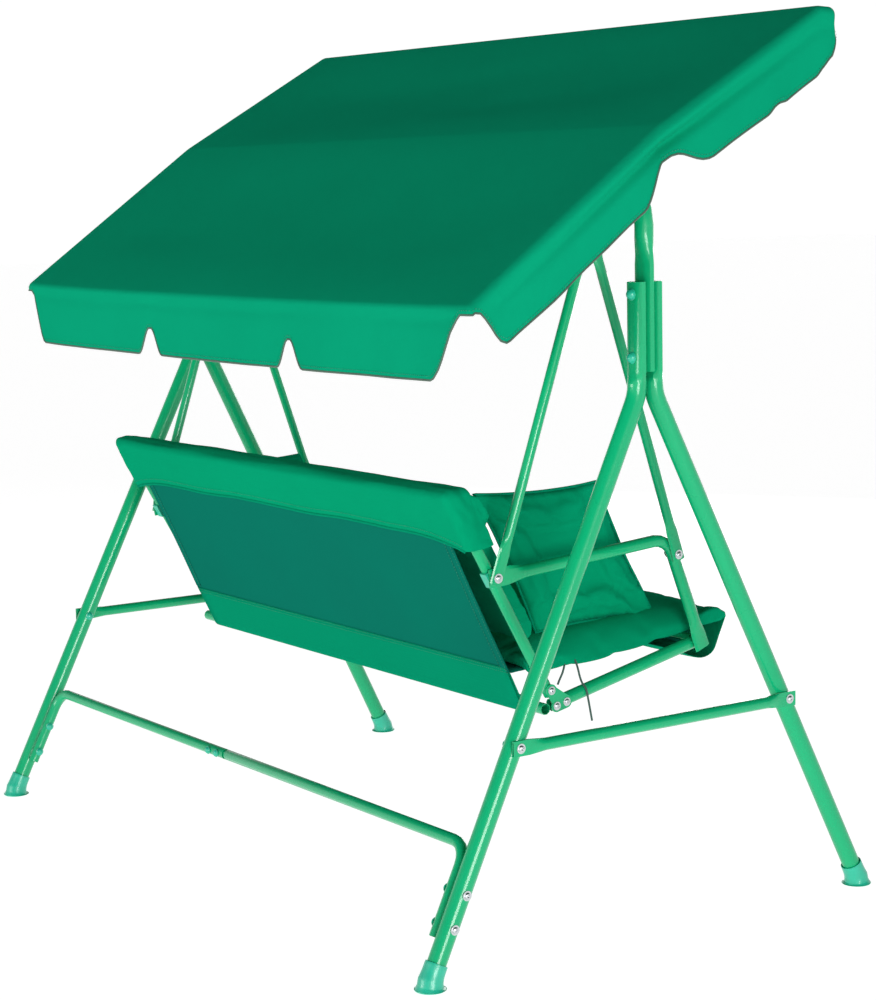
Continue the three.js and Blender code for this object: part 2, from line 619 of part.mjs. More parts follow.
const slab = prismAlongX([onBack(92, 18), onBack(454, 18), onBack(454, 42), onBack(440, 50), onBack(106, 50),
  onBack(92, 40)], -CUSHION_HALF, CUSHION_HALF);
const hood = prismAlongX([onBack(335, -27), onBack(450, -20.5), onBack(454, -14), onBack(454, 36),
  onBack(335, 36)],
  -HOOD_HALF, HOOD_HALF);
const hoodHollow = prismAlongX([onBack(300, -24), onBack(448, -16.5), onBack(448, 16.5), onBack(300, 16.5)],
  -HOOD_HALF + 5.5, HOOD_HALF - 5.5);
add('back_cushion', shifted(cut(join(slab, hood), hoodHollow)), cushionCloth);

for (const [side, sx] of SIDES) {
  const [halfThick, halfWide, halfTall] = [48, 146, 141];
  const squareness = 3.5;
  const lean = 0.48;
  const pillow = new THREE.SphereGeometry(1, 16, 10);
  const p = pillow.getAttribute('position');
  for (let i = 0; i < p.count; i += 1) {
    const [a, b, c] = [p.getX(i), p.getY(i), p.getZ(i)];
    const ring = Math.hypot(a, c);
    const round = ring < 1e-6 ? 1
      : (Math.abs(a / ring) ** squareness + Math.abs(c / ring) ** squareness) ** (-1 / squareness);
    const up = halfTall * c * round;
    p.setXYZ(i, halfThick * b, halfWide * a * round + lean * up, up);
  }
  pillow.translate(sx * 549, SEAT_SHIFT - 15, 667);
  add(`throw_pillow_${side}`, pillow, cushionCloth);

  // A tape tie leaves the cushion's edge, passes over the seat tube and hangs outside it.
  const route = [[601, 12, 476], [607, 12, 475.5], [614, 12, 469], [620, 11.8, 457], [625.5, 11.5, 442],
    [631.5, 11, 431.5], [638.2, 10, 425.9], [641.9, 8.6, 418], [642.8, 7, 407], [643, 4, 392],
    [643.2, 1, 376], [643.5, -2, 360]];
  const curve = new THREE.CatmullRomCurve3(route.map(([x, y, z]) => seatPoint(sx * x, y, z)));
  const section = new THREE.Shape(Array.from({ length: 8 }, (_, i) => new THREE.Vector2(
    2 * Math.cos(i * Math.PI / 4), 2 * Math.sin(i * Math.PI / 4))));
  const tie = new THREE.ExtrudeGeometry(section, { steps: 18, bevelEnabled: false, extrudePath: curve });
  add(`cushion_tie_${side}`, tie, tape);
}

// ---------------------------------------------------------------- canopy

const RIDGE = [-5, 1458.5];
const REAR_EDGE = [412, 1160];
const FRONT_BREAK = [-385, 1673];
const FRONT_EDGE = [-425, 1671];
const REAR_TUBE = [396, 1153];
const FRONT_TUBE = [-410, 1656];

function topHeight(y) {
  const between = (a, b) => a[1] + (b[1] - a[1]) * (y - a[0]) / (b[0] - a[0]);
  if (y > RIDGE[0]) return between(RIDGE, REAR_EDGE);
  if (y > FRONT_BREAK[0]) return between(RIDGE, FRONT_BREAK);
  return between(FRONT_BREAK, FRONT_EDGE);
}

// How far a valance hangs at a place along it, with each rounded cut given as [place, half width, height].
function valanceDrop(place, depth, cuts) {
  return cuts.reduce((drop, [at, half, height]) => {
    const u = Math.abs(place - at) / half;
    return u < 1 ? drop - height * 0.5 * (1 + Math.cos(Math.PI * u)) : drop;
  }, depth);
}

const SIDE_CUTS = [[REAR_EDGE[0], 80, 106], [-12, 36, 56], [FRONT_EDGE[0], 26, 40]];
const endCuts = (cornerHalf, cornerHeight) => [[-CANOPY_HALF_WIDTH, cornerHalf, cornerHeight], [-283, 34, 52],
  [283, 34, 52], [CANOPY_HALF_WIDTH, cornerHalf, cornerHeight]];
const REAR_CUTS = endCuts(92, 122);
const FRONT_CUTS = endCuts(34, 44);
const END_DEPTH = 138;
const SIDE_DEPTH = 122;

function placesAlong(from, to, cuts, coarse) {
  const places = new Set([from, to]);
  for (let i = 1; i < coarse; i += 1) places.add(from + (to - from) * i / coarse);
  for (const [at, half] of cuts) {
    for (let k = -4; k <= 4; k += 1) places.add(at + half * k / 4);
  }
  return [...places].filter((v) => v >= from && v <= to).sort((a, b) => a - b)
    .filter((v, i, all) => i === 0 || v - all[i - 1] > 3 || v === to);
}

const topOutline = (inset) => [
  [REAR_EDGE[0] - inset, REAR_EDGE[1] - inset], [RIDGE[0], RIDGE[1] - inset * 1.22],
  [FRONT_BREAK[0] + inset * 0.3, FRONT_BREAK[1] - inset * 1.15], [FRONT_EDGE[0] + inset, FRONT_EDGE[1] - inset],
];
const [innerFront, innerRear] = [FRONT_EDGE[0] + FABRIC, REAR_EDGE[0] - FABRIC];
const block = prismAlongX([[FRONT_EDGE[0], 1500], [REAR_EDGE[0], 1000], ...topOutline(0)],
  -CANOPY_HALF_WIDTH, CANOPY_HALF_WIDTH);
const hollow = prismAlongX([[innerFront, 900], [innerRear, 900], ...topOutline(FABRIC)],
  -CANOPY_HALF_WIDTH + FABRIC, CANOPY_HALF_WIDTH - FABRIC);

const sideEdge = placesAlong(innerFront, innerRear, SIDE_CUTS, 8)
  .map((y) => [y, topHeight(y) - valanceDrop(y, SIDE_DEPTH, SIDE_CUTS)]);
const sideCutter = prismAlongX([[innerFront, 800], [innerRear, 800], ...sideEdge.reverse()],
  -CANOPY_HALF_WIDTH - 10, CANOPY_HALF_WIDTH + 10);

function endCutter(cuts, [y, z], toward) {
  const reach = CANOPY_HALF_WIDTH + 1;
  const edge = placesAlong(-reach, reach, cuts, 6).map((x) => [x, z - valanceDrop(x, END_DEPTH, cuts)]);
  const outline = [[-reach, 700], [reach, 700], ...edge.reverse()];
  const faces = [y + toward * 6, y - toward * FABRIC].sort((a, b) => a - b);
  return prismAlongY(outline, ...faces);
}

add('canopy_fabric', cut(block, hollow, sideCutter, endCutter(REAR_CUTS, REAR_EDGE, 1),
  endCutter(FRONT_CUTS, FRONT_EDGE, -1)), canopyCloth);

// The front and rear halves of the canopy frame are U-shaped and push onto stubs of the centre tube.
const CANOPY_AXIS = [0, CANOPY_AXIS_HEIGHT];

function towards([y, z], distance) {
  const run = [y - CANOPY_AXIS[0], z - CANOPY_AXIS[1]];
  const length = Math.hypot(...run);
  return CANOPY_AXIS.map((v, i) => v + run[i] * distance / length);
}

for (const [end, target] of [['rear', REAR_TUBE], ['front', FRONT_TUBE]]) {
  const start = towards(target, 24);
  add(`canopy_frame_${end}`, tube({
    corners: [
      vec(-CANOPY_RAIL_X, ...start), vec(-CANOPY_RAIL_X, ...target),
      vec(CANOPY_RAIL_X, ...target), vec(CANOPY_RAIL_X, ...start),
    ],
    bend: 45,
    radius: CANOPY_TUBE_RADIUS,
  }), paint);
}

const stubs = [];
for (const sx of [-1, 1]) {
  for (const target of [REAR_TUBE, FRONT_TUBE]) {
    const tip = towards(target, 74);
    stubs.push(rod(vec(sx * CANOPY_RAIL_X, ...CANOPY_AXIS), vec(sx * CANOPY_RAIL_X, ...tip), 7.6, 8));
  }
}
const centreEnd = CANOPY_RAIL_X + 9;
const centreBar = (half, radius) => rod(vec(-half, ...CANOPY_AXIS), vec(half, ...CANOPY_AXIS), radius, 12);
const centreTube = centreBar(centreEnd, CANOPY_CENTRE_RADIUS);
const centreBore = centreBar(900, CANOPY_CENTRE_RADIUS - THIN_WALL);
add('canopy_centre_tube', cut(join(centreTube, ...stubs), centreBore), paint);

export default swing;
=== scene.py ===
import json
import math

import bmesh
import bpy
import numpy as np
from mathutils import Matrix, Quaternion, Vector, noise


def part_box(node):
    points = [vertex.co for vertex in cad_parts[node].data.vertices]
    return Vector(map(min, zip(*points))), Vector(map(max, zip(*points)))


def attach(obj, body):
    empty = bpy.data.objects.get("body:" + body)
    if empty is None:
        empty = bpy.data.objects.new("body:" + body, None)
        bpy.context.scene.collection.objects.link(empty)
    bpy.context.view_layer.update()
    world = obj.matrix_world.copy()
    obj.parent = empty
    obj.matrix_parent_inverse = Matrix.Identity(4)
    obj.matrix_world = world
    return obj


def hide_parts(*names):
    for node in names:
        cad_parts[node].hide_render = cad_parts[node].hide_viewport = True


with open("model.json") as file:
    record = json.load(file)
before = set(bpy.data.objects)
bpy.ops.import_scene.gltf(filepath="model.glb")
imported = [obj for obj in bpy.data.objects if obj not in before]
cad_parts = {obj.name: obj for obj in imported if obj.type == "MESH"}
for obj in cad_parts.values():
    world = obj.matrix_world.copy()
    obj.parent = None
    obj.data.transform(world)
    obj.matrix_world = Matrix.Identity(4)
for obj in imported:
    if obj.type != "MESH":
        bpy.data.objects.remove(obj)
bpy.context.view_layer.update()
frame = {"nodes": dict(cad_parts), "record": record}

# A three-seat garden swing. Units are metres, +Z is up and the sitter faces -Y.

SIDES = (("left", -1), ("right", 1))
ENDS = (("rear", 1), ("front", -1))

# ------------------------------------------------------------------ driving sizes, from the frame

LEG_PLANE = 0.840
LEG_LEAN = 23.5 / 1057
FOOT_SPREAD = 0.5095
LEG_SLOPE = 525.4 / 1057
LEG_RADIUS = 0.0175
LEG_BOLT_HEIGHTS = (("upper", 1.164), ("lower", 1.052))
SPREADER_HEIGHT = 0.3945
CROSSBAR_RADIUS = 0.011
CROSSBAR_HEIGHT = 0.228
CROSSBAR_BOLT_HEIGHTS = (("upper", 0.155), ("lower", 0.1))
CROSSBAR_JOINT_CAPS = (0.062, 0.095)
SPREADER_END_HALF = 0.0027

SEAT_SHIFT = -0.0065
BACK_LEAN = math.radians(29)
BACK_START = (0.092, 0.430)
LOWER_TUBE = (0.104, 0.396)
FRONT_TUBE = (-0.275, 0.4771)
REAR_ARM_BOLT = (0.217, 0.6555)
FRONT_ARM_BOLT = (-0.200, 0.657)
SLING_HALF = 0.592
CORNER_PLATE_FACE = 0.6431
CORNER_PLATE_BOLTS = ((0.057, 0.4044), (0.080, 0.3994), (0.092, 0.430))

CANOPY_HALF = 0.863
RIDGE = (-0.005, 1.4585)
REAR_EDGE = (0.412, 1.160)
FRONT_BREAK = (-0.385, 1.673)
FRONT_EDGE = (-0.425, 1.671)


def leg_point(side, end, height, out=0.0):
    """A point on a leg's axis at a height, moved outward along X."""
    x = side * (LEG_PLANE - LEG_LEAN * height + out)
    return Vector((x, end * (FOOT_SPREAD - LEG_SLOPE * height), height))


def seat_point(x, y, z):
    return Vector((x, y + SEAT_SHIFT, z))


def on_back(up, out=0.0):
    """A place (y, z) on the back: up along its tubes, and out in front of them."""
    y = BACK_START[0] + math.sin(BACK_LEAN) * up - math.cos(BACK_LEAN) * out
    z = BACK_START[1] + math.cos(BACK_LEAN) * up + math.sin(BACK_LEAN) * out
    return y, z


TOP_TUBE = on_back(0.429)

# ------------------------------------------------------------------ finishes


class Finish:
    """A procedural material that is built up around one Principled shader."""

    def __init__(self, name, colour, roughness, **sockets):
        self.material = bpy.data.materials.new(name)
        self.material.use_nodes = True
        self.tree = self.material.node_tree
        self.shader = self.tree.nodes["Principled BSDF"]
        self.colour = colour
        self.set("Base Color", (*colour, 1))
        self.set("Roughness", roughness)
        for socket, value in sockets.items():
            self.set(socket.replace("_", " "), value)
        self.place = self.add("ShaderNodeTexCoord").outputs["Object"]
        self.normal = None

    def set(self, socket, value):
        self.shader.inputs[socket].default_value = value

    def add(self, kind, settings=(), **inputs):
        node = self.tree.nodes.new(kind)
        for name, value in dict(settings).items():
            setattr(node, name, value)
        for name, value in inputs.items():
            socket = node.inputs[name.replace("_", " ")]
            if isinstance(value, bpy.types.NodeSocket):
                self.tree.links.new(value, socket)
            else:
                socket.default_value = value
        return node

    def grain(self, scale, detail=2.0, stretch=None, roughness=0.5):
        """A noise pattern, with lumps of about 1 / scale metres."""
        place = self.place
        if stretch:
            place = self.add("ShaderNodeMapping", Vector=place, Scale=stretch).outputs[0]
        node = self.add("ShaderNodeTexNoise", Vector=place, Scale=scale, Detail=detail, Roughness=roughness)
        return node.outputs["Fac"]

    def threads(self, direction, pitch, turn=(0, 0, 0)):
        """Parallel ribs at a pitch in metres."""
        place = self.add("ShaderNodeMapping", Vector=self.place, Rotation=turn).outputs[0]
        settings = {"wave_type": "BANDS", "bands_direction": direction, "wave_profile": "SIN"}
        node = self.add("ShaderNodeTexWave", settings, Vector=place, Scale=0.314 / pitch, Distortion=0.0)
        return node.outputs["Fac"]

    def join(self, operation, a, b):
        node = self.add("ShaderNodeMath", {"operation": operation})
        for socket, value in zip(node.inputs, (a, b)):
            if isinstance(value, bpy.types.NodeSocket):
                self.tree.links.new(value, socket)
            else:
                socket.default_value = value
        return node.outputs[0]

    def ramp(self, value, low, high, stops=(0.3, 0.7)):
        node = self.add("ShaderNodeMapRange", Value=value)
        limits = (("From Min", stops[0]), ("From Max", stops[1]), ("To Min", low), ("To Max", high))
        for name, number in limits:
            node.inputs[name].default_value = number
        return node.outputs[0]

    def tint(self, value, factor, amount=1.0):
        """Mixes in a shade that is factor times the present colour where value is high."""
        node = self.add("ShaderNodeMix", {"data_type": "RGBA"})
        source = self.shader.inputs["Base Color"]
        if source.is_linked:
            self.tree.links.new(source.links[0].from_socket, node.inputs["A"])
        else:
            node.inputs["A"].default_value = (*self.colour, 1)
        shade = [min(1.0, c * f) for c, f in zip(self.colour, factor)]
        node.inputs["B"].default_value = (*shade, 1)
        self.tree.links.new(self.join("MULTIPLY", value, amount), node.inputs["Factor"])
        self.tree.links.new(node.outputs["Result"], source)

    def bump(self, height, distance, strength=1.0):
        node = self.add("ShaderNodeBump", Height=height, Distance=distance, Strength=strength)
        if self.normal:
            self.tree.links.new(self.normal, node.inputs["Normal"])
        self.normal = node.outputs["Normal"]
        self.tree.links.new(self.normal, self.shader.inputs["Normal"])

    def drive(self, socket, value):
        self.tree.links.new(value, self.shader.inputs[socket])


def painted_steel():
    paint = Finish("green_paint", (0.003, 0.37, 0.150), 0.3, Coat_Weight=0.35, Coat_Roughness=0.06)
    paint.set("Specular IOR Level", 0.2)
    paint.tint(paint.ramp(paint.grain(3, 4), 0, 1), (0.8, 0.9, 0.92), 0.5)
    scuffs = paint.ramp(paint.grain(45, 6, roughness=0.7), 0, 0.25, (0.68, 0.78))
    paint.tint(scuffs, (1.0, 1.12, 1.2), 0.5)
    paint.drive("Roughness", paint.join("ADD", paint.ramp(paint.grain(25, 3), 0.2, 0.32), scuffs))
    paint.bump(paint.grain(120, 2), 0.00005, 0.12)
    return paint.material


def moulded_plastic():
    plastic = Finish("green_plastic", (0.015, 0.44, 0.28), 0.36, Subsurface_Weight=0.1, Coat_Weight=0.15)
    plastic.set("Subsurface Radius", (0.01, 0.03, 0.02))
    plastic.tint(plastic.ramp(plastic.grain(35, 4), 0, 1), (0.7, 0.86, 0.85), 0.6)
    plastic.drive("Roughness", plastic.ramp(plastic.grain(60, 3), 0.28, 0.46))
    plastic.bump(plastic.grain(900, 2), 0.0001, 0.5)
    return plastic.material


def zinc_steel():
    steel = Finish("bolt_steel", (0.68, 0.71, 0.72), 0.3, Metallic=1.0)
    steel.tint(steel.ramp(steel.grain(180, 4), 0, 1), (0.7, 0.72, 0.75), 0.7)
    steel.drive("Roughness", steel.ramp(steel.grain(400, 4, stretch=(1, 1, 6)), 0.2, 0.45))
    steel.bump(steel.grain(1500, 2), 0.00005, 0.5)
    return steel.material


def woven_cloth(name, colour, pitch, shade, sheen=0.12, crumple=0.0016):
    """Plain woven polyester: fine crossed threads, soft creases and a light sheen."""
    cloth = Finish(name, colour, 0.72, Sheen_Weight=sheen, Sheen_Roughness=0.5)
    cloth.set("Sheen Tint", (0.02, 0.7, 0.4, 1))
    cloth.set("Specular IOR Level", 0.0)
    cloth.tint(cloth.ramp(cloth.grain(2.2, 5), 0, 1), shade, 0.55)
    cloth.tint(cloth.ramp(cloth.grain(38, 6, roughness=0.65), 0, 1), (0.82, 0.9, 0.9), 0.25)
    cloth.tint(cloth.ramp(cloth.grain(900, 2), 0, 1), (1.25, 1.12, 1.12), 0.3)
    cloth.drive("Roughness", cloth.ramp(cloth.grain(30, 4), 0.6, 0.84))
    cloth.bump(cloth.grain(16, 5, roughness=0.6), crumple, 0.8)
    warp = cloth.threads("X", pitch)
    weft = cloth.threads("Y", pitch, turn=(math.radians(35), 0, 0))
    cloth.bump(cloth.join("MULTIPLY", warp, weft), 0.00022, 0.6)
    return cloth.material


def sling_mesh():
    """Coated yarn woven as an open mesh, darker in its gaps: painted shade stands in for the holes."""
    mesh = Finish("sling_mesh", (0.003, 0.150, 0.100), 0.6)
    mesh.set("Specular IOR Level", 0.0)
    warp = mesh.threads("X", 0.0021)
    weft = mesh.threads("Z", 0.0021, turn=(math.radians(-29), 0, 0))
    shaded_gaps = mesh.join("MULTIPLY", warp, weft)
    # Painted shade: the weave's gaps are darkened in colour instead of being open holes.
    mesh.tint(shaded_gaps, (0.55, 0.72, 0.8), 0.65)
    mesh.tint(mesh.ramp(mesh.grain(4, 5), 0, 1), (1.2, 0.85, 0.9), 0.5)
    mesh.drive("Roughness", mesh.ramp(mesh.grain(40, 4), 0.42, 0.6))
    mesh.bump(shaded_gaps, 0.0004, 0.5)
    return mesh.material


def binding_tape(name, colour):
    tape = Finish(name, colour, 0.75, Sheen_Weight=0.15)
    tape.tint(tape.threads("DIAGONAL", 0.0016), (1.5, 1.35, 1.3), 0.6)
    tape.tint(tape.ramp(tape.grain(120, 4), 0, 1), (0.6, 0.7, 0.7), 0.5)
    tape.bump(tape.threads("DIAGONAL", 0.0016), 0.0002, 0.7)
    return tape.material


PAINT = painted_steel()
PLASTIC = moulded_plastic()
STEEL = zinc_steel()
CANOPY_CLOTH = woven_cloth("canopy_cloth", (0.002, 0.285, 0.145), 0.0013, (0.72, 0.88, 0.86), crumple=0.0012)
CUSHION_CLOTH = woven_cloth("cushion_cloth", (0.001, 0.255, 0.120), 0.0013, (0.7, 0.84, 0.80))
LINING = woven_cloth("cover_cloth", (0.001, 0.215, 0.108), 0.0012, (0.75, 0.88, 0.85))
SLING = sling_mesh()
TAPE = binding_tape("tie_tape", (0.035, 0.085, 0.07))
BINDING = binding_tape("binding_tape", (0.05, 0.10, 0.07))
THREAD = binding_tape("sewing_thread", (0.004, 0.20, 0.11))

# ------------------------------------------------------------------ mesh helpers


def finish_piece(piece, body, material):
    piece.data.materials.clear()
    piece.data.materials.append(material)
    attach(piece, body)
    return piece


def mesh_piece(name, vertices, faces, body, material):
    mesh = bpy.data.meshes.new(name)
    mesh.from_pydata([tuple(v) for v in vertices], [], faces)
    mesh.polygons.foreach_set("use_smooth", [True] * len(mesh.polygons))
    mesh.update()
    piece = bpy.data.objects.new(name, mesh)
    bpy.context.scene.collection.objects.link(piece)
    return finish_piece(piece, body, material) if body else piece


def grid_faces(rows, columns, close_rows=False, close_columns=False, start=0):
    """Quads between rows x columns of points, wrapped round where a direction is closed."""
    faces = []
    for i in range(rows if close_rows else rows - 1):
        for j in range(columns if close_columns else columns - 1):
            here, below = start + i * columns, start + (i + 1) % rows * columns
            faces.append((here + j, here + (j + 1) % columns, below + (j + 1) % columns, below + j))
    return faces


def modify(piece, kind, **settings):
    modifier = piece.modifiers.new(kind.lower(), kind)
    for name, value in settings.items():
        setattr(modifier, name, value)
    return modifier


def bake_modifiers(piece):
    """Replaces a piece's mesh by what its modifiers make of it."""
    graph = bpy.context.evaluated_depsgraph_get()
    made = bpy.data.meshes.new_from_object(piece.evaluated_get(graph))
    piece.modifiers.clear()
    piece.data = made
    return piece


def face_out(piece):
    shape = bmesh.new()
    shape.from_mesh(piece.data)
    bmesh.ops.recalc_face_normals(shape, faces=shape.faces)
    shape.to_mesh(piece.data)
    shape.free()
    return piece


def frame_along(direction):
    """Two unit vectors square to a direction and to each other."""
    aside = Vector((0, 0, 1)) if abs(direction.z) < 0.9 else Vector((1, 0, 0))
    first = direction.cross(aside).normalized()
    return first, direction.cross(first)


def turned(name, profile, origin, axis, body, material, sides=28):
    """A solid turned about an axis, from (distance along it, radius) steps; the ends close on the axis."""
    axis = Vector(axis).normalized()
    first, second = frame_along(axis)
    vertices, faces = [], []
    for along, radius in profile:
        for k in range(sides):
            turn = 2 * math.pi * k / sides
            spoke = first * math.cos(turn) + second * math.sin(turn)
            vertices.append(Vector(origin) + axis * along + spoke * radius)
    faces = grid_faces(len(profile), sides, close_columns=True)
    faces.append(tuple(range(sides)))
    faces.append(tuple(range(len(vertices) - 1, len(vertices) - sides - 1, -1)))
    piece = face_out(mesh_piece(name, vertices, faces, body, material))
    smooth_by_angle(piece, 32)
    return piece


def ribbon(name, path, width, thick, body, material, closed=False, flat=None):
    """A band of oval section along a path; flat gives each point's direction across the band's width."""
    path = [Vector(p) for p in path]
    count = len(path)
    vertices = []
    sides = 8
    for i, point in enumerate(path):
        before = path[(i - 1) % count] if closed or i else point
        after = path[(i + 1) % count] if closed or i < count - 1 else point
        along = (after - before).normalized()
        wide = Vector(flat[i]) if flat else frame_along(along)[0]
        wide = (wide - along * wide.dot(along)).normalized()
        thin = along.cross(wide)
        for k in range(sides):
            turn = 2 * math.pi * k / sides
            vertices.append(point + wide * math.cos(turn) * width / 2 + thin * math.sin(turn) * thick / 2)
    faces = grid_faces(count, sides, close_rows=closed, close_columns=True)
    if not closed:
        faces += [tuple(range(sides)), tuple(range(len(vertices) - 1, len(vertices) - sides - 1, -1))]
    return face_out(mesh_piece(name, vertices, faces, body, material))


def evenly(path, step):
    """Points along a path, a step apart, each with its heading."""
    path = [Vector(p) for p in path]
    places, carried = [], 0.0
    for a, b in zip(path, path[1:]):
        length = (b - a).length
        while carried < length:
            places.append((a.lerp(b, carried / length), (b - a).normalized()))
            carried += step
        carried -= length
    return places


def stitch_row(name, paths, body, pitch=0.0062, length=0.0042, radius=0.0006):
    """Sewing thread along paths: one small spindle for each stitch."""
    vertices, faces = [], []
    for path in paths:
        for point, along in evenly(path, pitch):
            first, second = frame_along(along)
            base = len(vertices)
            vertices.append(point - along * length / 2)
            vertices += [point + offset * radius for offset in (first, second, -first, -second)]
            vertices.append(point + along * length / 2)
            for k in range(4):
                here, following = base + 1 + k, base + 1 + (k + 1) % 4
                faces.append((base, following, here))
                faces.append((base + 5, here, following))
    return mesh_piece(name, vertices, faces, body, THREAD)


def angle_group():
    """Geometry nodes that merge doubled vertices and shade smooth across edges flatter than an angle."""
    group = bpy.data.node_groups.new("smooth_by_angle", "GeometryNodeTree")
    group.interface.new_socket("Geometry", in_out="INPUT", socket_type="NodeSocketGeometry")
    limit = group.interface.new_socket("Angle", in_out="INPUT", socket_type="NodeSocketFloat")
    group.interface.new_socket("Geometry", in_out="OUTPUT", socket_type="NodeSocketGeometry")
    nodes, links = group.nodes, group.links
    start, end = nodes.new("NodeGroupInput"), nodes.new("NodeGroupOutput")
    weld = nodes.new("GeometryNodeMergeByDistance")
    weld.inputs["Distance"].default_value = 0.00001
    edge_angle = nodes.new("GeometryNodeInputMeshEdgeAngle")
    below = nodes.new("FunctionNodeCompare")
    below.operation = "LESS_THAN"
    faces, edges = nodes.new("GeometryNodeSetShadeSmooth"), nodes.new("GeometryNodeSetShadeSmooth")
    faces.domain, edges.domain = "FACE", "EDGE"
    links.new(start.outputs["Geometry"], weld.inputs["Geometry"])
    links.new(weld.outputs["Geometry"], faces.inputs["Geometry"])
    links.new(faces.outputs["Geometry"], edges.inputs["Geometry"])
    links.new(edge_angle.outputs["Unsigned Angle"], below.inputs["A"])
    links.new(start.outputs["Angle"], below.inputs["B"])
    links.new(below.outputs["Result"], edges.inputs["Shade Smooth"])
    links.new(edges.outputs["Geometry"], end.inputs["Geometry"])
    return group, limit.identifier


ANGLE_GROUP, ANGLE_INPUT = angle_group()


def smooth_by_angle(piece, degrees):
    modifier = modify(piece, "NODES", node_group=ANGLE_GROUP)
    modifier[ANGLE_INPUT] = math.radians(degrees)


# ------------------------------------------------------------------ camera

TARGET = Vector((0.6786, -0.5740, 0.5965))
AZIMUTH = math.radians(235.5725)
ELEVATION = math.radians(7.5444)
ROLL = math.radians(-1.134)
CAMERA_DISTANCE = 5.789
LENS_MM = 84.78


def make_camera():
    back = Vector((math.sin(AZIMUTH) * math.cos(ELEVATION), -math.cos(AZIMUTH) * math.cos(ELEVATION),
                   math.sin(ELEVATION)))
    data = bpy.data.cameras.new("camera")
    data.lens = LENS_MM
    data.sensor_width = 36
    camera = bpy.data.objects.new("camera", data)
    camera.location = TARGET + back * CAMERA_DISTANCE
    camera.rotation_mode = "QUATERNION"
    camera.rotation_quaternion = (-back).to_track_quat("-Z", "Y") @ Quaternion((0, 0, 1), ROLL)
    bpy.context.scene.collection.objects.link(camera)
    bpy.context.scene.camera = camera


make_camera()

# ------------------------------------------------------------------ ties

TIE_DIAMETER = 0.004
TIE_ROUTE = [
    (0.601, 0.012, 0.476), (0.607, 0.012, 0.4755), (0.614, 0.012, 0.469), (0.620, 0.0118, 0.457),
    (0.6255, 0.0115, 0.442), (0.6315, 0.011, 0.4315), (0.6382, 0.010, 0.4259), (0.6419, 0.0086, 0.418),
    (0.6428, 0.007, 0.407), (0.643, 0.004, 0.392), (0.6432, 0.001, 0.376), (0.6435, -0.002, 0.360),
]
SHORT_TIE_ROUTE = [
    (0.600, 0.030, 0.474), (0.606, 0.032, 0.472), (0.6095, 0.036, 0.464), (0.6105, 0.041, 0.452),
    (0.6095, 0.047, 0.440), (0.608, 0.051, 0.430),
]


def route_curve(name, route):
    data = bpy.data.curves.new(name, "CURVE")
    data.dimensions = "3D"
    data.bevel_depth = TIE_DIAMETER / 2
    data.bevel_resolution = 3
    data.use_fill_caps = True
    spline = data.splines.new("POLY")
    spline.points.add(len(route) - 1)
    for point, place in zip(spline.points, route):
        point.co = (*place, 1)
    piece = bpy.data.objects.new(name, data)
    bpy.context.scene.collection.objects.link(piece)
    return piece


def smooth_route(points, steps=4):
    """The points with a smooth line through them, as a Catmull-Rom spline."""
    points = [Vector(p) for p in points]
    ends = [points[0] * 2 - points[1], *points, points[-1] * 2 - points[-2]]
    line = []
    for a, b, c, d in zip(ends, ends[1:], ends[2:], ends[3:]):
        for k in range(steps):
            t = k / steps
            line.append(0.5 * (2 * b + (c - a) * t + (2 * a - 5 * b + 4 * c - d) * t ** 2
                               + (3 * b - a - 3 * c + d) * t ** 3))
    return [*line, points[-1]]


def make_ties():
    for side, sx in SIDES:
        for name, route in ((f"tie_long_{side}", TIE_ROUTE), (f"tie_short_{side}", SHORT_TIE_ROUTE)):
            line = smooth_route([seat_point(sx * x, y, z) for x, y, z in route])
            tie = finish_piece(route_curve(name, line), "seat", TAPE)
            if route is TIE_ROUTE:
                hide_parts(f"cushion_tie_{side}")


make_ties()

# ------------------------------------------------------------------ the frame's own pieces

MATERIAL_OF_SLOT = {"green_paint": PAINT, "green_plastic": PLASTIC, "bolt_steel": STEEL}


def finish_cad_nodes():
    slots = {part["node"]: part["material_slot"] for part in frame["record"]["subparts"]}
    for name, node in frame["nodes"].items():
        material = MATERIAL_OF_SLOT.get(slots[name])
        if material:
            node.data.materials.clear()
            node.data.materials.append(material)
            smooth_by_angle(node, 40)


finish_cad_nodes()

# ------------------------------------------------------------------ fasteners and foot caps

ACROSS = Vector((1, 0, 0))
REARWARD = Vector((0, 1, 0))


def dome_profile(radius, height, flange=0.0):
    """A rounded cap from its face outward, with a thin flange if asked."""
    steps = [(0, 0.0005), (0, radius + flange), (0.0012, radius + flange), (0.0016, radius)]
    for k in range(1, 7):
        turn = math.pi / 2 * k / 6
        steps.append((0.0016 + height * math.sin(turn), max(0.0004, radius * math.cos(turn))))
    return steps


def nut_profile(radius, height):
    return [(0, 0.0005), (0, radius * 1.35), (0.0012, radius * 1.35), (0.0014, radius * 0.96),
            (0.002, radius), (height - 0.0006, radius), (height, radius * 0.93), (height, 0.0005)]


def bolt_head(name, point, axis, body, radius=0.0062, height=0.0036):
    """A domed bolt head with a round drive hole, on a washer."""
    profile = [(0, 0.0005), (0, radius * 1.45), (0.0012, radius * 1.45), (0.0013, radius)]
    for k in range(1, 5):
        turn = math.radians(58) * k / 4
        profile.append((0.0013 + height * math.sin(turn), radius * math.cos(turn)))
    rim = profile[-1]
    profile += [(rim[0], radius * 0.42), (rim[0] - 0.0022, radius * 0.40), (rim[0] - 0.0022, 0.0005)]
    return turned(name, profile, point, axis, body, STEEL)


def nut(name, point, axis, body, radius=0.0068, height=0.0055):
    return turned(name, nut_profile(radius, height), point, axis, body, STEEL, sides=6)


def plastic_cap(name, point, axis, body, radius=0.0095, height=0.0085):
    return turned(name, dome_profile(radius, height, 0.0012), point, axis, body, PLASTIC)


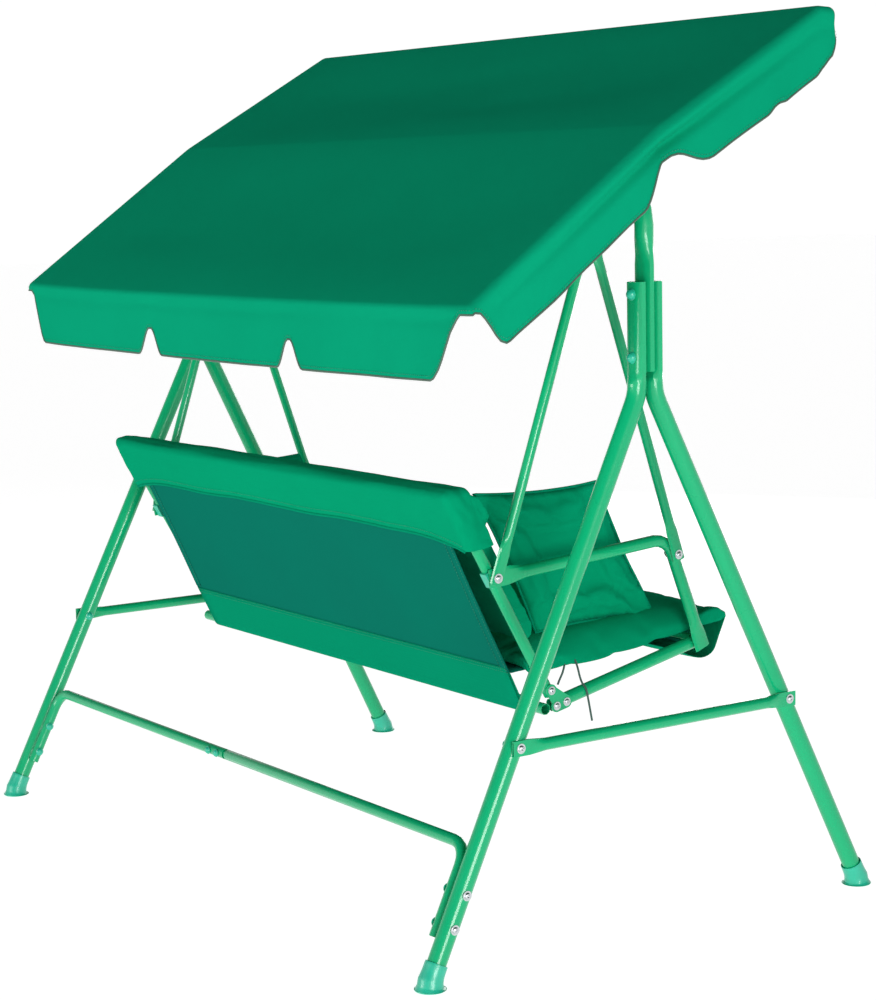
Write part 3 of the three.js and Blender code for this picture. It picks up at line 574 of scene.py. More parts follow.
def bolt_rod(name, radius, length, point, axis, body, sides=16):
    """The plain rod of a bolt, from a point along an axis."""
    profile = [(0, 0.0005), (0, radius), (length, radius), (length, 0.0005)]
    return turned(name, profile, point, axis, body, STEEL, sides=sides)


def leg_top_bolts():
    for side, _ in SIDES:
        for level, height in LEG_BOLT_HEIGHTS:
            low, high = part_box(f"leg_top_bolt_{level}_{side}")
            x = (low.x + high.x) / 2
            start = (x, -0.028, height)
            shank = bolt_rod(f"leg_top_shank_{level}_{side}", 0.004, 0.056, start, REARWARD, "frame")
            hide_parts(f"leg_top_bolt_{level}_{side}")
            plastic_cap(f"leg_top_cap_{level}_{side}", (x, high.y - 0.005, height), REARWARD, "frame")
            nut(f"leg_top_nut_{level}_{side}", (x, low.y + 0.006, height), -REARWARD, "frame")


def arm_bolts():
    for side, sx in SIDES:
        out = ACROSS * sx
        for end, place in (("rear", REAR_ARM_BOLT), ("front", FRONT_ARM_BOLT)):
            low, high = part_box(f"arm_bolt_{end}_{side}")
            outer, inner = (high.x, low.x) if sx > 0 else (low.x, high.x)
            length = abs(outer - inner) - 0.006
            start = seat_point(inner + sx * 0.003, *place)
            shank = bolt_rod(f"arm_shank_{end}_{side}", 0.003, length, start, out, "seat")
            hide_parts(f"arm_bolt_{end}_{side}")
            bolt_head(f"arm_head_{end}_{side}", seat_point(outer - sx * 0.0038, *place), out, "seat")
            nut(f"arm_nut_{end}_{side}", seat_point(inner + sx * 0.0063, *place), -out, "seat", height=0.0058)


def pivot_bolts():
    for side, sx in SIDES:
        low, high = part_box(f"hanger_pivot_bolt_{side}")
        outer, inner = (high.x, low.x) if sx > 0 else (low.x, high.x)
        z = (low.z + high.z) / 2
        out = ACROSS * sx
        length = abs(outer - inner) - 0.009
        start = (inner + sx * 0.005, 0, z)
        shank = bolt_rod(f"pivot_shank_{side}", 0.005, length, start, out, "frame", sides=20)
        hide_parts(f"hanger_pivot_bolt_{side}")
        face = (outer - sx * 0.0055, 0, z)
        bolt_head(f"pivot_head_{side}", face, out, "frame", radius=0.0082, height=0.005)
        nut(f"pivot_nut_{side}", (inner + sx * 0.0066, 0, z), -out, "frame", radius=0.0085, height=0.0062)


def frame_bolts():
    """The bolts through the spreaders' flattened ends, the crossbar's ends and its joint."""
    for side, sx in SIDES:
        out = ACROSS * sx
        for end, sy in ENDS:
            low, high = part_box(f"side_spreader_{side}")
            face = (low.x + high.x) / 2 + sx * SPREADER_END_HALF
            place = leg_point(sx, sy, SPREADER_HEIGHT)
            bolt_head(f"spreader_bolt_{end}_{side}", (face, place.y, place.z), out, "frame")
            inner = place.x - sx * LEG_RADIUS
            plastic_cap(f"spreader_cap_{end}_{side}", (inner, place.y, place.z), -out, "frame", 0.008, 0.006)
        for level, height in CROSSBAR_BOLT_HEIGHTS:
            place = leg_point(sx, 1, height)
            bolt_head(f"crossbar_bolt_{level}_{side}", place + out * LEG_RADIUS, out, "frame")
            inner = place - out * (LEG_RADIUS + 2 * CROSSBAR_RADIUS + 0.0004)
            plastic_cap(f"crossbar_cap_{level}_{side}", inner, -out, "frame", 0.0078, 0.006)
    for index, x in enumerate(CROSSBAR_JOINT_CAPS):
        rear = leg_point(1, 1, CROSSBAR_HEIGHT).y + CROSSBAR_RADIUS
        place = Vector((x, rear, CROSSBAR_HEIGHT))
        plastic_cap(f"crossbar_joint_cap_{index + 1}", place, REARWARD, "frame", 0.0068, 0.005)


def corner_plate_bolts():
    for side, sx in SIDES:
        for index, place in enumerate(CORNER_PLATE_BOLTS):
            point = seat_point(sx * CORNER_PLATE_FACE, *place)
            bolt_head(f"plate_bolt_{index + 1}_{side}", point, ACROSS * sx, "seat",
                      radius=0.0056, height=0.0032)


FOOT_HEIGHT = 0.014
SOLE_HEIGHT = 0.003


def foot_caps():
    """Moulded caps: a socket round the leg that flares to a round foot on the floor."""
    sides = 40
    rings = 12
    for side, sx in SIDES:
        for end, sy in ENDS:
            middle = leg_point(sx, sy, FOOT_HEIGHT)
            up = (leg_point(sx, sy, 1.0) - middle).normalized()
            base = Vector((middle.x, middle.y, 0))
            vertices = []
            outer = [(0.0, 0.0262), (0.0, 0.0275), (0.0012, 0.0285), (0.003, 0.0283)]
            for k in range(rings + 1):
                t = k / rings
                outer.append((0.003 + 0.042 * t, 0.0205 + 0.0068 * (1 - t) ** 3))
            outer += [(0.0462, 0.0202), (0.0465, 0.0194), (0.0462, 0.0186), (0.030, 0.0185)]
            for height, radius in outer:
                lean = min(1.0, max(0.0, height / 0.03))
                low_part = height < FOOT_HEIGHT
                centre = base.lerp(middle, lean) if low_part else middle + up * (height - FOOT_HEIGHT)
                axis = Vector((0, 0, 1)).lerp(up, lean).normalized()
                first = axis.cross(Vector((0, 1, 0))).normalized()
                second = axis.cross(first)
                centre = Vector((centre.x, centre.y, height)) if height < SOLE_HEIGHT else centre
                for j in range(sides):
                    turn = 2 * math.pi * j / sides
                    offset = first * math.cos(turn) + second * math.sin(turn)
                    vertices.append(centre + offset * radius)
            faces = grid_faces(len(outer), sides, close_columns=True)
            faces.append(tuple(range(sides)))
            last = len(vertices) - sides
            faces.append(tuple(last + j for j in range(sides)))
            cap = face_out(mesh_piece(f"foot_{end}_{side}", vertices, faces, "frame", PLASTIC))
            for vertex in cap.data.vertices:
                vertex.co.z = max(0.0, vertex.co.z)
            smooth_by_angle(cap, 40)
            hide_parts(f"foot_cap_{end}_{side}")


leg_top_bolts()
arm_bolts()
pivot_bolts()
frame_bolts()
corner_plate_bolts()
foot_caps()

# ------------------------------------------------------------------ canopy

ROLL_RADIUS = 0.014
SIDE_DEPTH = 0.122
END_DEPTH = 0.131
SIDE_CUTS = ((REAR_EDGE[0], (0.086, 0.086), 0.104), (-0.012, (0.115, 0.046), 0.056),
             (-0.270, (0.030, 0.022), 0.007), (FRONT_EDGE[0], (0.055, 0.055), 0.036))


def end_cuts(left_half, right_half, corner_height):
    """An end valance's cuts: one at each corner and two between them."""
    inner = [(at, (0.048, 0.048), 0.054) for at in (-0.283, 0.283)]
    left = (-CANOPY_HALF, (left_half, left_half), corner_height)
    right = (CANOPY_HALF, (right_half, right_half), corner_height)
    return [left, *inner, right]


REAR_CUTS = end_cuts(0.108, 0.070, 0.113)
FRONT_CUTS = end_cuts(0.110, 0.110, 0.085)


def roof_height(y):
    def between(a, b):
        return a[1] + (b[1] - a[1]) * (y - a[0]) / (b[0] - a[0])
    if y > RIDGE[0]:
        return between(RIDGE, REAR_EDGE)
    if y > FRONT_BREAK[0]:
        return between(RIDGE, FRONT_BREAK)
    return between(FRONT_BREAK, FRONT_EDGE)


def valance_drop(place, depth, cuts):
    """How far a valance hangs at a place along it, with cuts (place, (width below, width above), height)."""
    for at, (below, above), height in cuts:
        u = abs(place - at) / (below if place < at else above)
        if u < 1:
            depth -= height * 0.5 * (1 + math.cos(math.pi * (max(0.0, u - 0.1) / 0.9) ** 0.92))
    return depth


def spaced_places(low, high, step, cuts):
    """Places from low to high, a step apart, and closer together at the cuts."""
    places = {low, high}
    count = max(2, round((high - low) / step))
    places.update(low + (high - low) * k / count for k in range(count))
    for at, (below, above), _ in cuts:
        places.update(at - below * k / 8 for k in range(11))
        places.update(at + above * k / 8 for k in range(11))
    ordered = sorted(p for p in places if low <= p <= high)
    kept = [ordered[0]]
    for place in ordered[1:]:
        if place - kept[-1] > 0.0035:
            kept.append(place)
    kept[-1] = high
    return kept


def cloth_wave(point, size, seed):
    """A smooth random number from -1 to 1 that changes over about size metres."""
    return noise.noise(Vector(point) / size + Vector((seed, seed * 1.7, seed * 0.3)))


def bell(value, middle, width):
    return math.exp(-((value - middle) / width) ** 2)


def roof_point(x, y):
    """The roof's cloth: stretched over its frame, a little slack between the tubes."""
    z = roof_height(y)
    span = REAR_EDGE[0] - RIDGE[0] if y > RIDGE[0] else RIDGE[0] - FRONT_BREAK[0]
    along = min(1.0, abs(y - RIDGE[0]) / span)
    across = 1 - min(1.0, abs(x) / 0.835) ** 4
    z -= 0.010 * math.sin(math.pi * along) ** 2 * across
    z += 0.0012 * cloth_wave((x, y, 0), 0.23, 3) * across * math.sin(math.pi * along)
    z += 0.0022 * across * math.sin(math.pi * along) * cloth_wave((x * 0.4, y * 2.2, 0), 0.16, 8)
    if y > RIDGE[0]:
        z -= 0.005 * across * along ** 4
    return Vector((x, y, z))


def side_displacement(point, sx, down, depth):
    """How far a side valance stands out from its plane at a distance below the roof's edge."""
    middle = bell(point.y, -0.02, 0.27)
    share = down / max(depth, 0.03)
    out = -0.014 * middle * bell(down, 0.040, 0.010)
    out += 0.005 * middle * bell(down, 0.020, 0.012)
    out += 0.0075 * share * cloth_wave((0, point.y, 0), 0.085, 5 + sx)
    out += 0.0045 * share ** 2 * bell(point.y, -0.27, 0.035)
    pinch = bell(point.y, -0.012, 0.045) * bell(down, 0.05, 0.03)
    return out - 0.006 * pinch


def end_displacement(point, down, depth, seed):
    share = down / max(depth, 0.03)
    out = 0.0065 * share * cloth_wave((point.x, 0, 0), 0.11, seed)
    out += 0.0022 * math.sin(point.x * 6 + seed) * share
    crease = 0.5 + 0.5 * cloth_wave((point.x, 0, 0), 0.3, seed + 9)
    return out - 0.0035 * crease * bell(down, 0.028, 0.008)


def canopy_loop(xs, ys):
    """The roof's boundary as (grid index, outward direction, drop, start slope), with fans at the corners."""
    columns = len(xs)
    slope = math.atan2(RIDGE[1] - REAR_EDGE[1], REAR_EDGE[0] - RIDGE[0])

    def index(i, j):
        return i * columns + j

    def side_entry(i, sx):
        drop = valance_drop(ys[i], SIDE_DEPTH, SIDE_CUTS)
        return index(i, 0 if sx < 0 else columns - 1), Vector((sx, 0, 0)), drop, 0.0

    def end_entry(j, sy):
        x = xs[j] * CANOPY_HALF / xs[-1]
        drop = valance_drop(x, END_DEPTH, REAR_CUTS if sy > 0 else FRONT_CUTS)
        return index(len(ys) - 1 if sy > 0 else 0, j), Vector((0, sy, 0)), drop, slope if sy > 0 else 0.0

    def corner(a, b, steps=6):
        """Entries that turn from entry a to entry b at one corner of the roof."""
        turned_entries = []
        for k in range(1, steps):
            t = k / steps
            angle = math.pi / 2 * t
            way = (a[1] * math.cos(angle) + b[1] * math.sin(angle)).normalized()
            tilt = math.atan(math.tan(slope) * max(0.0, way.y)) if slope else 0.0
            turned_entries.append((a[0], way, a[2] + (b[2] - a[2]) * t, tilt))
        return turned_entries

    front = [end_entry(j, -1) for j in range(columns)]
    right = [side_entry(i, 1) for i in range(len(ys))]
    rear = [end_entry(j, 1) for j in reversed(range(columns))]
    left = [side_entry(i, -1) for i in reversed(range(len(ys)))]
    loop = []
    sides = [front, right, rear, left]
    for here, following in zip(sides, sides[1:] + sides[:1]):
        loop += here + corner(here[-1], following[0])
    return loop


def hanging_rings(points, loop, fall, shape, roll_steps=5, rows=12, radius=ROLL_RADIUS):
    """Rings of points that roll over an edge and then fall; shape says how far each stands out."""
    rings = []
    for k in range(1, roll_steps + rows + 1):
        ring = []
        for index, out, drop, slope in loop:
            base = points[index]
            if k <= roll_steps:
                turn = slope + (math.pi / 2 - slope) * k / roll_steps
                reach = radius * (math.sin(turn) - math.sin(slope))
                down = radius * (math.cos(slope) - math.cos(turn))
            else:
                reach = radius * (1 - math.sin(slope))
                start = radius * math.cos(slope)
                down = start + (max(drop, start + 0.002) - start) * (k - roll_steps) / rows
            reach += shape(base, out, down, drop)
            ring.append(base + out * reach + fall * down)
        rings.append(ring)
    return rings


def canopy_shape(base, out, down, drop):
    ends = abs(out.y)
    sx = 1 if base.x > 0 else -1
    side = side_displacement(base, sx, down, drop)
    end = end_displacement(base, down, drop, 2 if base.y > 0 else 6)
    fade = min(1.0, down / ROLL_RADIUS)
    return (side * abs(out.x) ** 2 + end * ends ** 2) * fade


def make_canopy():
    half = CANOPY_HALF - ROLL_RADIUS
    slope = math.atan2(RIDGE[1] - REAR_EDGE[1], REAR_EDGE[0] - RIDGE[0])
    inner_cuts = [(at * half / CANOPY_HALF, width, height) for at, width, height in REAR_CUTS]
    xs = spaced_places(-half, half, 0.026, inner_cuts)
    front, rear = FRONT_EDGE[0] + ROLL_RADIUS, REAR_EDGE[0] - ROLL_RADIUS * (1 - math.sin(slope))
    ys = spaced_places(front, rear, 0.024, [*SIDE_CUTS, (FRONT_BREAK[0], (0.02, 0.02), 0)])
    points = [roof_point(x, y) for y in ys for x in xs]
    loop = canopy_loop(xs, ys)
    rings = hanging_rings(points, loop, Vector((0, 0, -1)), canopy_shape)
    vertices = points + [p for ring in rings for p in ring]
    faces = grid_faces(len(ys), len(xs))
    count = len(loop)
    first = len(points)
    for j in range(count):
        a, b = loop[j][0], loop[(j + 1) % count][0]
        ring = (first + (j + 1) % count, first + j)
        faces.append((a, *reversed(ring)) if a == b else (a, b, *ring))
    faces += grid_faces(len(rings), count, close_columns=True, start=first)
    cover = face_out(mesh_piece("canopy_cover", vertices, faces, "canopy", CANOPY_CLOTH))
    modify(cover, "SOLIDIFY", thickness=0.0012, offset=-1)
    modify(cover, "SUBSURF", levels=1, render_levels=1)
    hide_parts("canopy_fabric")

    hem = rings[-1]
    up = [Vector((0, 0, 1))] * count
    binding = ribbon("canopy_binding", hem, 0.0038, 0.0026, "canopy", BINDING, closed=True, flat=up)
    lift = Vector((0, 0, 0.0075))
    outward = [entry[1] * 0.0014 for entry in loop]
    above_hem = [p + lift + o for p, o in zip(hem, outward)]
    seam = stitch_row("canopy_stitching", [[*above_hem, above_hem[0]]], "canopy")


make_canopy()

# ------------------------------------------------------------------ slings


def arc_places(centre, radius, start, end, steps):
    """Places (y, z) on an arc, with angles in degrees from +Y toward +Z."""
    angles = [math.radians(start + (end - start) * k / steps) for k in range(steps + 1)]
    return [(centre[0] + radius * math.cos(a), centre[1] + radius * math.sin(a)) for a in angles]


def swept_sheet(name, profile, half, material, columns=40, pull=0.0, sag=None, thickness=0.0016):
    """A sheet with a side profile of (y, z) places, whose edges the tension pulls in."""
    xs = [half * (2 * k / columns - 1) for k in range(columns + 1)]
    rows = []
    lengths = [0.0]
    for a, b in zip(profile, profile[1:]):
        lengths.append(lengths[-1] + math.dist(a, b))
    for (y, z), length in zip(profile, lengths):
        t = length / lengths[-1]
        narrow = 1 - pull * math.sin(math.pi * t)
        for x in xs:
            dy, dz = sag(x / half, t) if sag else (0, 0)
            rows.append(seat_point(x * narrow, y + dy, z + dz))
    piece = face_out(mesh_piece(name, rows, grid_faces(len(profile), len(xs)), "seat", material))
    modify(piece, "SOLIDIFY", thickness=thickness, offset=0)
    edges = [[rows[i * len(xs) + j] for i in range(len(profile))] for j in (0, -1)]
    return piece, edges, lengths[-1]


def between_places(a, b, steps):
    return [(a[0] + (b[0] - a[0]) * k / steps, a[1] + (b[1] - a[1]) * k / steps) for k in range(steps + 1)]


HEM_WIDTH = 0.022
HEM_THICKNESS = 0.0022


def make_slings():
    run = (TOP_TUBE[0] - LOWER_TUBE[0], TOP_TUBE[1] - LOWER_TUBE[1])
    length = math.hypot(*run)
    along = (run[0] / length, run[1] / length)
    rear = (along[1], -along[0])

    def on_sling(up, out):
        return (LOWER_TUBE[0] + along[0] * up + rear[0] * out, LOWER_TUBE[1] + along[1] * up + rear[1] * out)

    plane = 0.0131
    face = math.degrees(math.atan2(rear[1], rear[0]))
    seam_up = 0.092

    def back_sag(u, t):
        slack = 0.004 * (1 - u * u) * math.sin(math.pi * t)
        return slack * rear[0], slack * rear[1]

    # The mesh panel wraps the top tube from its front side and runs down to the sewn band.
    wrap = arc_places(TOP_TUBE, plane, face + 250, face, 14)
    panel = [*wrap, *between_places(on_sling(length - 0.006, plane), on_sling(seam_up - 0.010, plane), 22)]
    back, edges, back_length = swept_sheet("back_sling_mesh", panel, SLING_HALF, SLING, pull=0.012,
                                           sag=back_sag)
    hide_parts("back_sling")

    # The band below it is plain cloth, doubled round the lower tube.
    band_line = [*between_places(on_sling(seam_up, plane + 0.0016), on_sling(0.004, plane + 0.0016), 8),
                 *arc_places(LOWER_TUBE, plane + 0.0016, face - 8, face - 205, 16),
                 *between_places(on_sling(0.016, plane - 0.0045),
                                 on_sling(seam_up - 0.012, plane - 0.0030), 5)]
    band, _, band_length = swept_sheet("back_sling_band", band_line, SLING_HALF - 0.004, LINING, pull=0.006)

    joint = (0.1484, 0.4644)
    top = (FRONT_TUBE[0], FRONT_TUBE[1] + plane)

    def seat_sag(u, t):
        return 0, -0.006 * (1 - u * u) * math.sin(math.pi * min(1.0, t * 1.12))

    seat_line = [*between_places((joint[0] - 0.002, joint[1] - 0.0014), top, 20),
                 *arc_places(FRONT_TUBE, plane, 96, 350, 16)[1:]]
    seat, seat_edges, seat_length = swept_sheet("seat_sling_mesh", seat_line, SLING_HALF, SLING, pull=0.010,
                                                sag=seat_sag)
    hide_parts("seat_sling")

    # Doubled hems along the side edges, and the thread that holds them and the band.
    threads = []
    for side, edge, seat_edge, sx in zip(("left", "right"), edges, seat_edges, (-1, 1)):
        inner = ACROSS * (-sx * 0.011)
        outward = Vector((0, rear[0], rear[1])) * 0.0012
        back_hem = [p + inner + outward for p in edge[14:]]
        ribbon(f"back_sling_hem_{side}", back_hem, HEM_WIDTH, HEM_THICKNESS, "seat", SLING,
               flat=[ACROSS] * len(back_hem))
        threads.append([p + inner * 1.8 + outward * 2.1 for p in edge[15:]])
        threads.append([p + inner * 0.3 + outward * 2.1 for p in edge[15:]])
        seat_hem = [p + inner - Vector((0, 0, 0.0012)) for p in seat_edge[1:20]]
        ribbon(f"seat_sling_hem_{side}", seat_hem, HEM_WIDTH, HEM_THICKNESS, "seat", SLING,
               flat=[ACROSS] * len(seat_hem))
    for up in (seam_up - 0.003, seam_up - 0.010):
        place = on_sling(up, plane + 0.0027)
        threads.append([seat_point(x, *place) for x in (-SLING_HALF + 0.006, SLING_HALF - 0.006)])
    stitching = stitch_row("sling_stitching", threads, "seat")


make_slings()

# ------------------------------------------------------------------ cushions

PAD_VOXEL = 0.007


def prism(name, outline, half, steps):
    """A closed prism along X from an outline of (y, z) places, cut across into even steps."""
    vertices = []
    count = len(outline)
    for k in range(steps + 1):
        x = half * (2 * k / steps - 1)
        vertices += [seat_point(x, y, z) for y, z in outline]
    faces = grid_faces(steps + 1, count, close_columns=True)
    faces.append(tuple(range(count)))
    faces.append(tuple(len(vertices) - 1 - k for k in range(count)))
    return face_out(mesh_piece(name, vertices, faces, None, None))


def remesh(piece, voxel):
    modify(piece, "REMESH", mode="VOXEL", voxel_size=voxel, use_smooth_shade=True)
    return bake_modifiers(piece)


CUSHION_CLOTH_SETTINGS = {
    "quality": 6,
    "mass": 0.25,
    "tension_stiffness": 20,
    "compression_stiffness": 20,
    "shear_stiffness": 6,
    "bending_stiffness": 0.3,
    "air_damping": 4,
}


def inflate(piece, held, pressure, frames, cap, growth):
    """Blows a closed cover up like a stuffed one.

    held gives 0 to 1 for each vertex, 1 where it can't move, and no vertex travels further than cap.
    """
    start = np.array([v.co for v in piece.data.vertices])
    group = piece.vertex_groups.new(name="held")
    for index, weight in enumerate(held):
        if weight > 0.01:
            group.add([index], float(weight), "REPLACE")
    cloth = modify(piece, "CLOTH")
    settings = cloth.settings
    for name, number in CUSHION_CLOTH_SETTINGS.items():
        setattr(settings, name, number)
    settings.use_pressure = True
    settings.uniform_pressure_force = pressure
    settings.shrink_min = -growth
    settings.vertex_group_mass = "held"
    settings.effector_weights.gravity = 0
    cloth.collision_settings.use_collision = False
    cloth.point_cache.frame_start = 1
    cloth.point_cache.frame_end = frames
    for number in range(1, frames + 1):
        bpy.context.scene.frame_set(number)
    bake_modifiers(piece)
    bpy.context.scene.frame_set(1)
    piece.vertex_groups.clear()
    moved = np.array([v.co for v in piece.data.vertices])
    travel = moved - start
    far = np.linalg.norm(travel, axis=1, keepdims=True)
    # Far points are drawn back smoothly, so that no flat stop shows.
    limited = start + travel * (cap * np.tanh(far / cap) / np.maximum(far, 1e-9))
    piece.data.vertices.foreach_set("co", limited.astype(np.float32).ravel())
    piece.data.update()
    return piece


def back_axes():
    """The back's own axes in the YZ plane: up along it, and out of its front."""
    up = np.array([0, math.sin(BACK_LEAN), math.cos(BACK_LEAN)])
    out = np.array([0, -math.cos(BACK_LEAN), math.sin(BACK_LEAN)])
    origin = np.array(seat_point(0, *BACK_START))
    return origin, up, out


SEAT_SEAMS = (-0.2, 0.2)


def seam_hold(x, width=0.006):
    return np.max([np.exp(-((x - at) / width) ** 2) for at in SEAT_SEAMS], axis=0)


def make_seat_pad():
    outline = [(0.122, 0.4695), (-0.262, 0.4945), (-0.345, 0.4965), (-0.366, 0.500), (-0.372, 0.512),
               (-0.364, 0.522), (-0.345, 0.526), (-0.295, 0.5255), (0.105, 0.5015), (0.122, 0.493)]
    pad = remesh(prism("seat_pad", outline, 0.594, 60), PAD_VOXEL)
    co = np.array([v.co for v in pad.data.vertices])
    y = co[:, 1] - SEAT_SHIFT
    bottom = 0.4695 + (0.122 - y) * 0.0651
    height = (co[:, 2] - bottom) / 0.034
    top = np.clip(height, 0, 1)
    # The sides pull in between the corners, and the ends droop over the side tubes.
    share = np.clip((0.122 - y) / 0.49, 0, 1)
    co[:, 0] *= 1 - 0.010 * np.sin(np.pi * share)
    end = np.clip((np.abs(co[:, 0]) - 0.545) / 0.045, 0, 1)
    along = np.sin(np.pi * np.clip(0.12 + share * 0.95, 0, 1))
    co[:, 2] -= 0.034 * end ** 3 * along
    co[:, 0] += np.sign(co[:, 0]) * 0.020 * end ** 2
    groove = seam_hold(co[:, 0], 0.012) * top
    co[:, 2] -= 0.013 * groove
    pad.data.vertices.foreach_set("co", co.astype(np.float32).ravel())
    under = np.clip(1 - height * 3, 0, 1) * (1 - end)
    rim = np.exp(-((np.abs(co[:, 0]) - 0.598) / 0.006) ** 2) * np.exp(-((height - 0.5) / 0.2) ** 2)
    held = np.clip(np.maximum.reduce([under, seam_hold(co[:, 0], 0.007) * top, rim]), 0, 1)
    inflate(pad, held, pressure=3.2, frames=16, cap=0.018, growth=0.035)
    return pad


def make_back_pad():
    origin, up, out = back_axes()
    places = [(0.090, 0.021), (0.420, 0.021), (0.422, 0.028), (0.404, 0.045), (0.106, 0.052), (0.090, 0.040)]
    pad = remesh(prism("back_pad", [on_back(*p) for p in places], 0.604, 60), PAD_VOXEL)
    co = np.array([v.co for v in pad.data.vertices])
    local = co - origin
    rise, front = local @ up, local @ out
    # Above the armrests the pad widens, so that it covers the tops of the back's side tubes.
    widen = 1 / (1 + np.exp(-(rise - 0.345) / 0.008))
    co[:, 0] *= 1 + 0.075 * widen - 0.012 * np.sin(np.pi * np.clip(rise / 0.36, 0, 1)) * (1 - widen)
    top = np.clip((front - 0.021) / 0.026, 0, 1)
    groove = seam_hold(co[:, 0], 0.012) * top
    co -= np.outer(0.012 * groove, out)
    pad.data.vertices.foreach_set("co", co.astype(np.float32).ravel())
    behind = np.clip(1 - top * 3, 0, 1)
    held = np.clip(np.maximum(behind, seam_hold(co[:, 0], 0.007) * top), 0, 1)
    inflate(pad, held, pressure=3.2, frames=16, cap=0.016, growth=0.035)
    return pad


def make_hood():
    """The pocket on the back pad's rear that slips over the back's top: a lid with three turned sides."""
    origin, up, out = (Vector(v) for v in back_axes())
    half = 0.634
    low, high = 0.356, 0.439
    columns, rows = 60, 12
    xs = [half * (2 * j / columns - 1) for j in range(columns + 1)]
    points = []
    for i in range(rows + 1):
        rise = low + (high - low) * i / rows
        for x in xs:
            u = x / half
            droop = -0.006 * (1 - i / rows) * cloth_wave((x, 0, 0), 0.22, 4) - 0.024 * (1 - i / rows) * u ** 6
            stand = 0.0245 - 0.002 * i / rows + 0.0014 * cloth_wave((x, rise * 2, 0), 0.07, 11)
            stand += 0.0022 * cloth_wave((x * 1.6, rise * 3, 0), 0.05, 21) * abs(u) ** 5
            narrow = 1 - 0.004 * (i / rows) ** 2
            points.append(origin + ACROSS * x * narrow + up * (rise + droop) - out * stand)
    stride = columns + 1
    left = [(i * stride, -ACROSS) for i in range(rows + 1)]
    top = [(rows * stride + j, up) for j in range(columns + 1)]
    right = [(i * stride + columns, ACROSS) for i in reversed(range(rows + 1))]
    depth = 0.056

    def corner(index, a, b):
        return [(index, (a * math.cos(t) + b * math.sin(t)).normalized())
                for t in (math.pi / 2 * k / 5 for k in range(1, 5))]

    ways = [*left, *corner(top[0][0], -ACROSS, up), *top, *corner(top[-1][0], up, ACROSS), *right]
    loop = [(index, way, depth, 0.0) for index, way in ways]

    def shape(base, way, down, drop):
        wrinkle = 0.0042 * cloth_wave((base.x * 3, down * 30, base.z * 22), 0.5, 14)
        puff = 0.005 * math.sin(math.pi * min(1.0, down / drop))
        return (wrinkle + puff) * min(1.0, down / 0.01)

    rings = hanging_rings(points, loop, (out - up * 0.36).normalized(), shape, rows=9, radius=0.013)
    vertices = points + [p for ring in rings for p in ring]
    faces = grid_faces(rows + 1, stride)
    count, first = len(loop), len(points)
    for j in range(count - 1):
        a, b = loop[j][0], loop[j + 1][0]
        faces.append((a, first + j, first + j + 1) if a == b else (a, first + j, first + j + 1, b))
    faces += grid_faces(len(rings), count, start=first)
    hood = face_out(mesh_piece("back_hood", vertices, faces, "seat", CUSHION_CLOTH))
    modify(hood, "SOLIDIFY", thickness=0.0016, offset=0)
    modify(hood, "SUBSURF", levels=1, render_levels=1)
    edge = [points[j] - out * 0.001 for j in range(columns + 1)]
    hem = ribbon("back_hood_hem", edge, 0.006, 0.0036, "seat", LINING, flat=[up] * len(edge))
    above = [p + up * 0.014 - out * 0.0012 for p in edge]
    stitching = stitch_row("back_hood_stitching", [above], "seat")
    return hood


def make_pocket():
    """The seat pad's front pocket: loose cloth that hangs round the front tube."""
    path = smooth_route([Vector((0, y, z)) for y, z in (
        (-0.368, 0.520), (-0.377, 0.508), (-0.374, 0.492), (-0.364, 0.465), (-0.354, 0.440), (-0.338, 0.4285),
        (-0.315, 0.4255), (-0.285, 0.4345), (-0.255, 0.449), (-0.230, 0.4615))], steps=3)
    half, columns = 0.599, 64
    vertices = []
    for k, place in enumerate(path):
        t = k / (len(path) - 1)
        loose = math.sin(math.pi * t)
        for j in range(columns + 1):
            x = half * (2 * j / columns - 1)
            wave = cloth_wave((x, t * 0.2, 0), 0.12, 17)
            y = place.y + 0.006 * loose * wave
            z = place.z + 0.005 * loose * cloth_wave((x, 0, t * 0.2), 0.16, 31)
            z = z + 0.012 * loose * (x / half) ** 2 * t
            vertices.append(seat_point(x * (1 - 0.012 * loose), y, z))
    faces = grid_faces(len(path), columns + 1)
    piece = face_out(mesh_piece("seat_pocket", vertices, faces, "seat", CUSHION_CLOTH))
    modify(piece, "SOLIDIFY", thickness=0.0018, offset=0)
    modify(piece, "SUBSURF", levels=1, render_levels=1)
    return piece


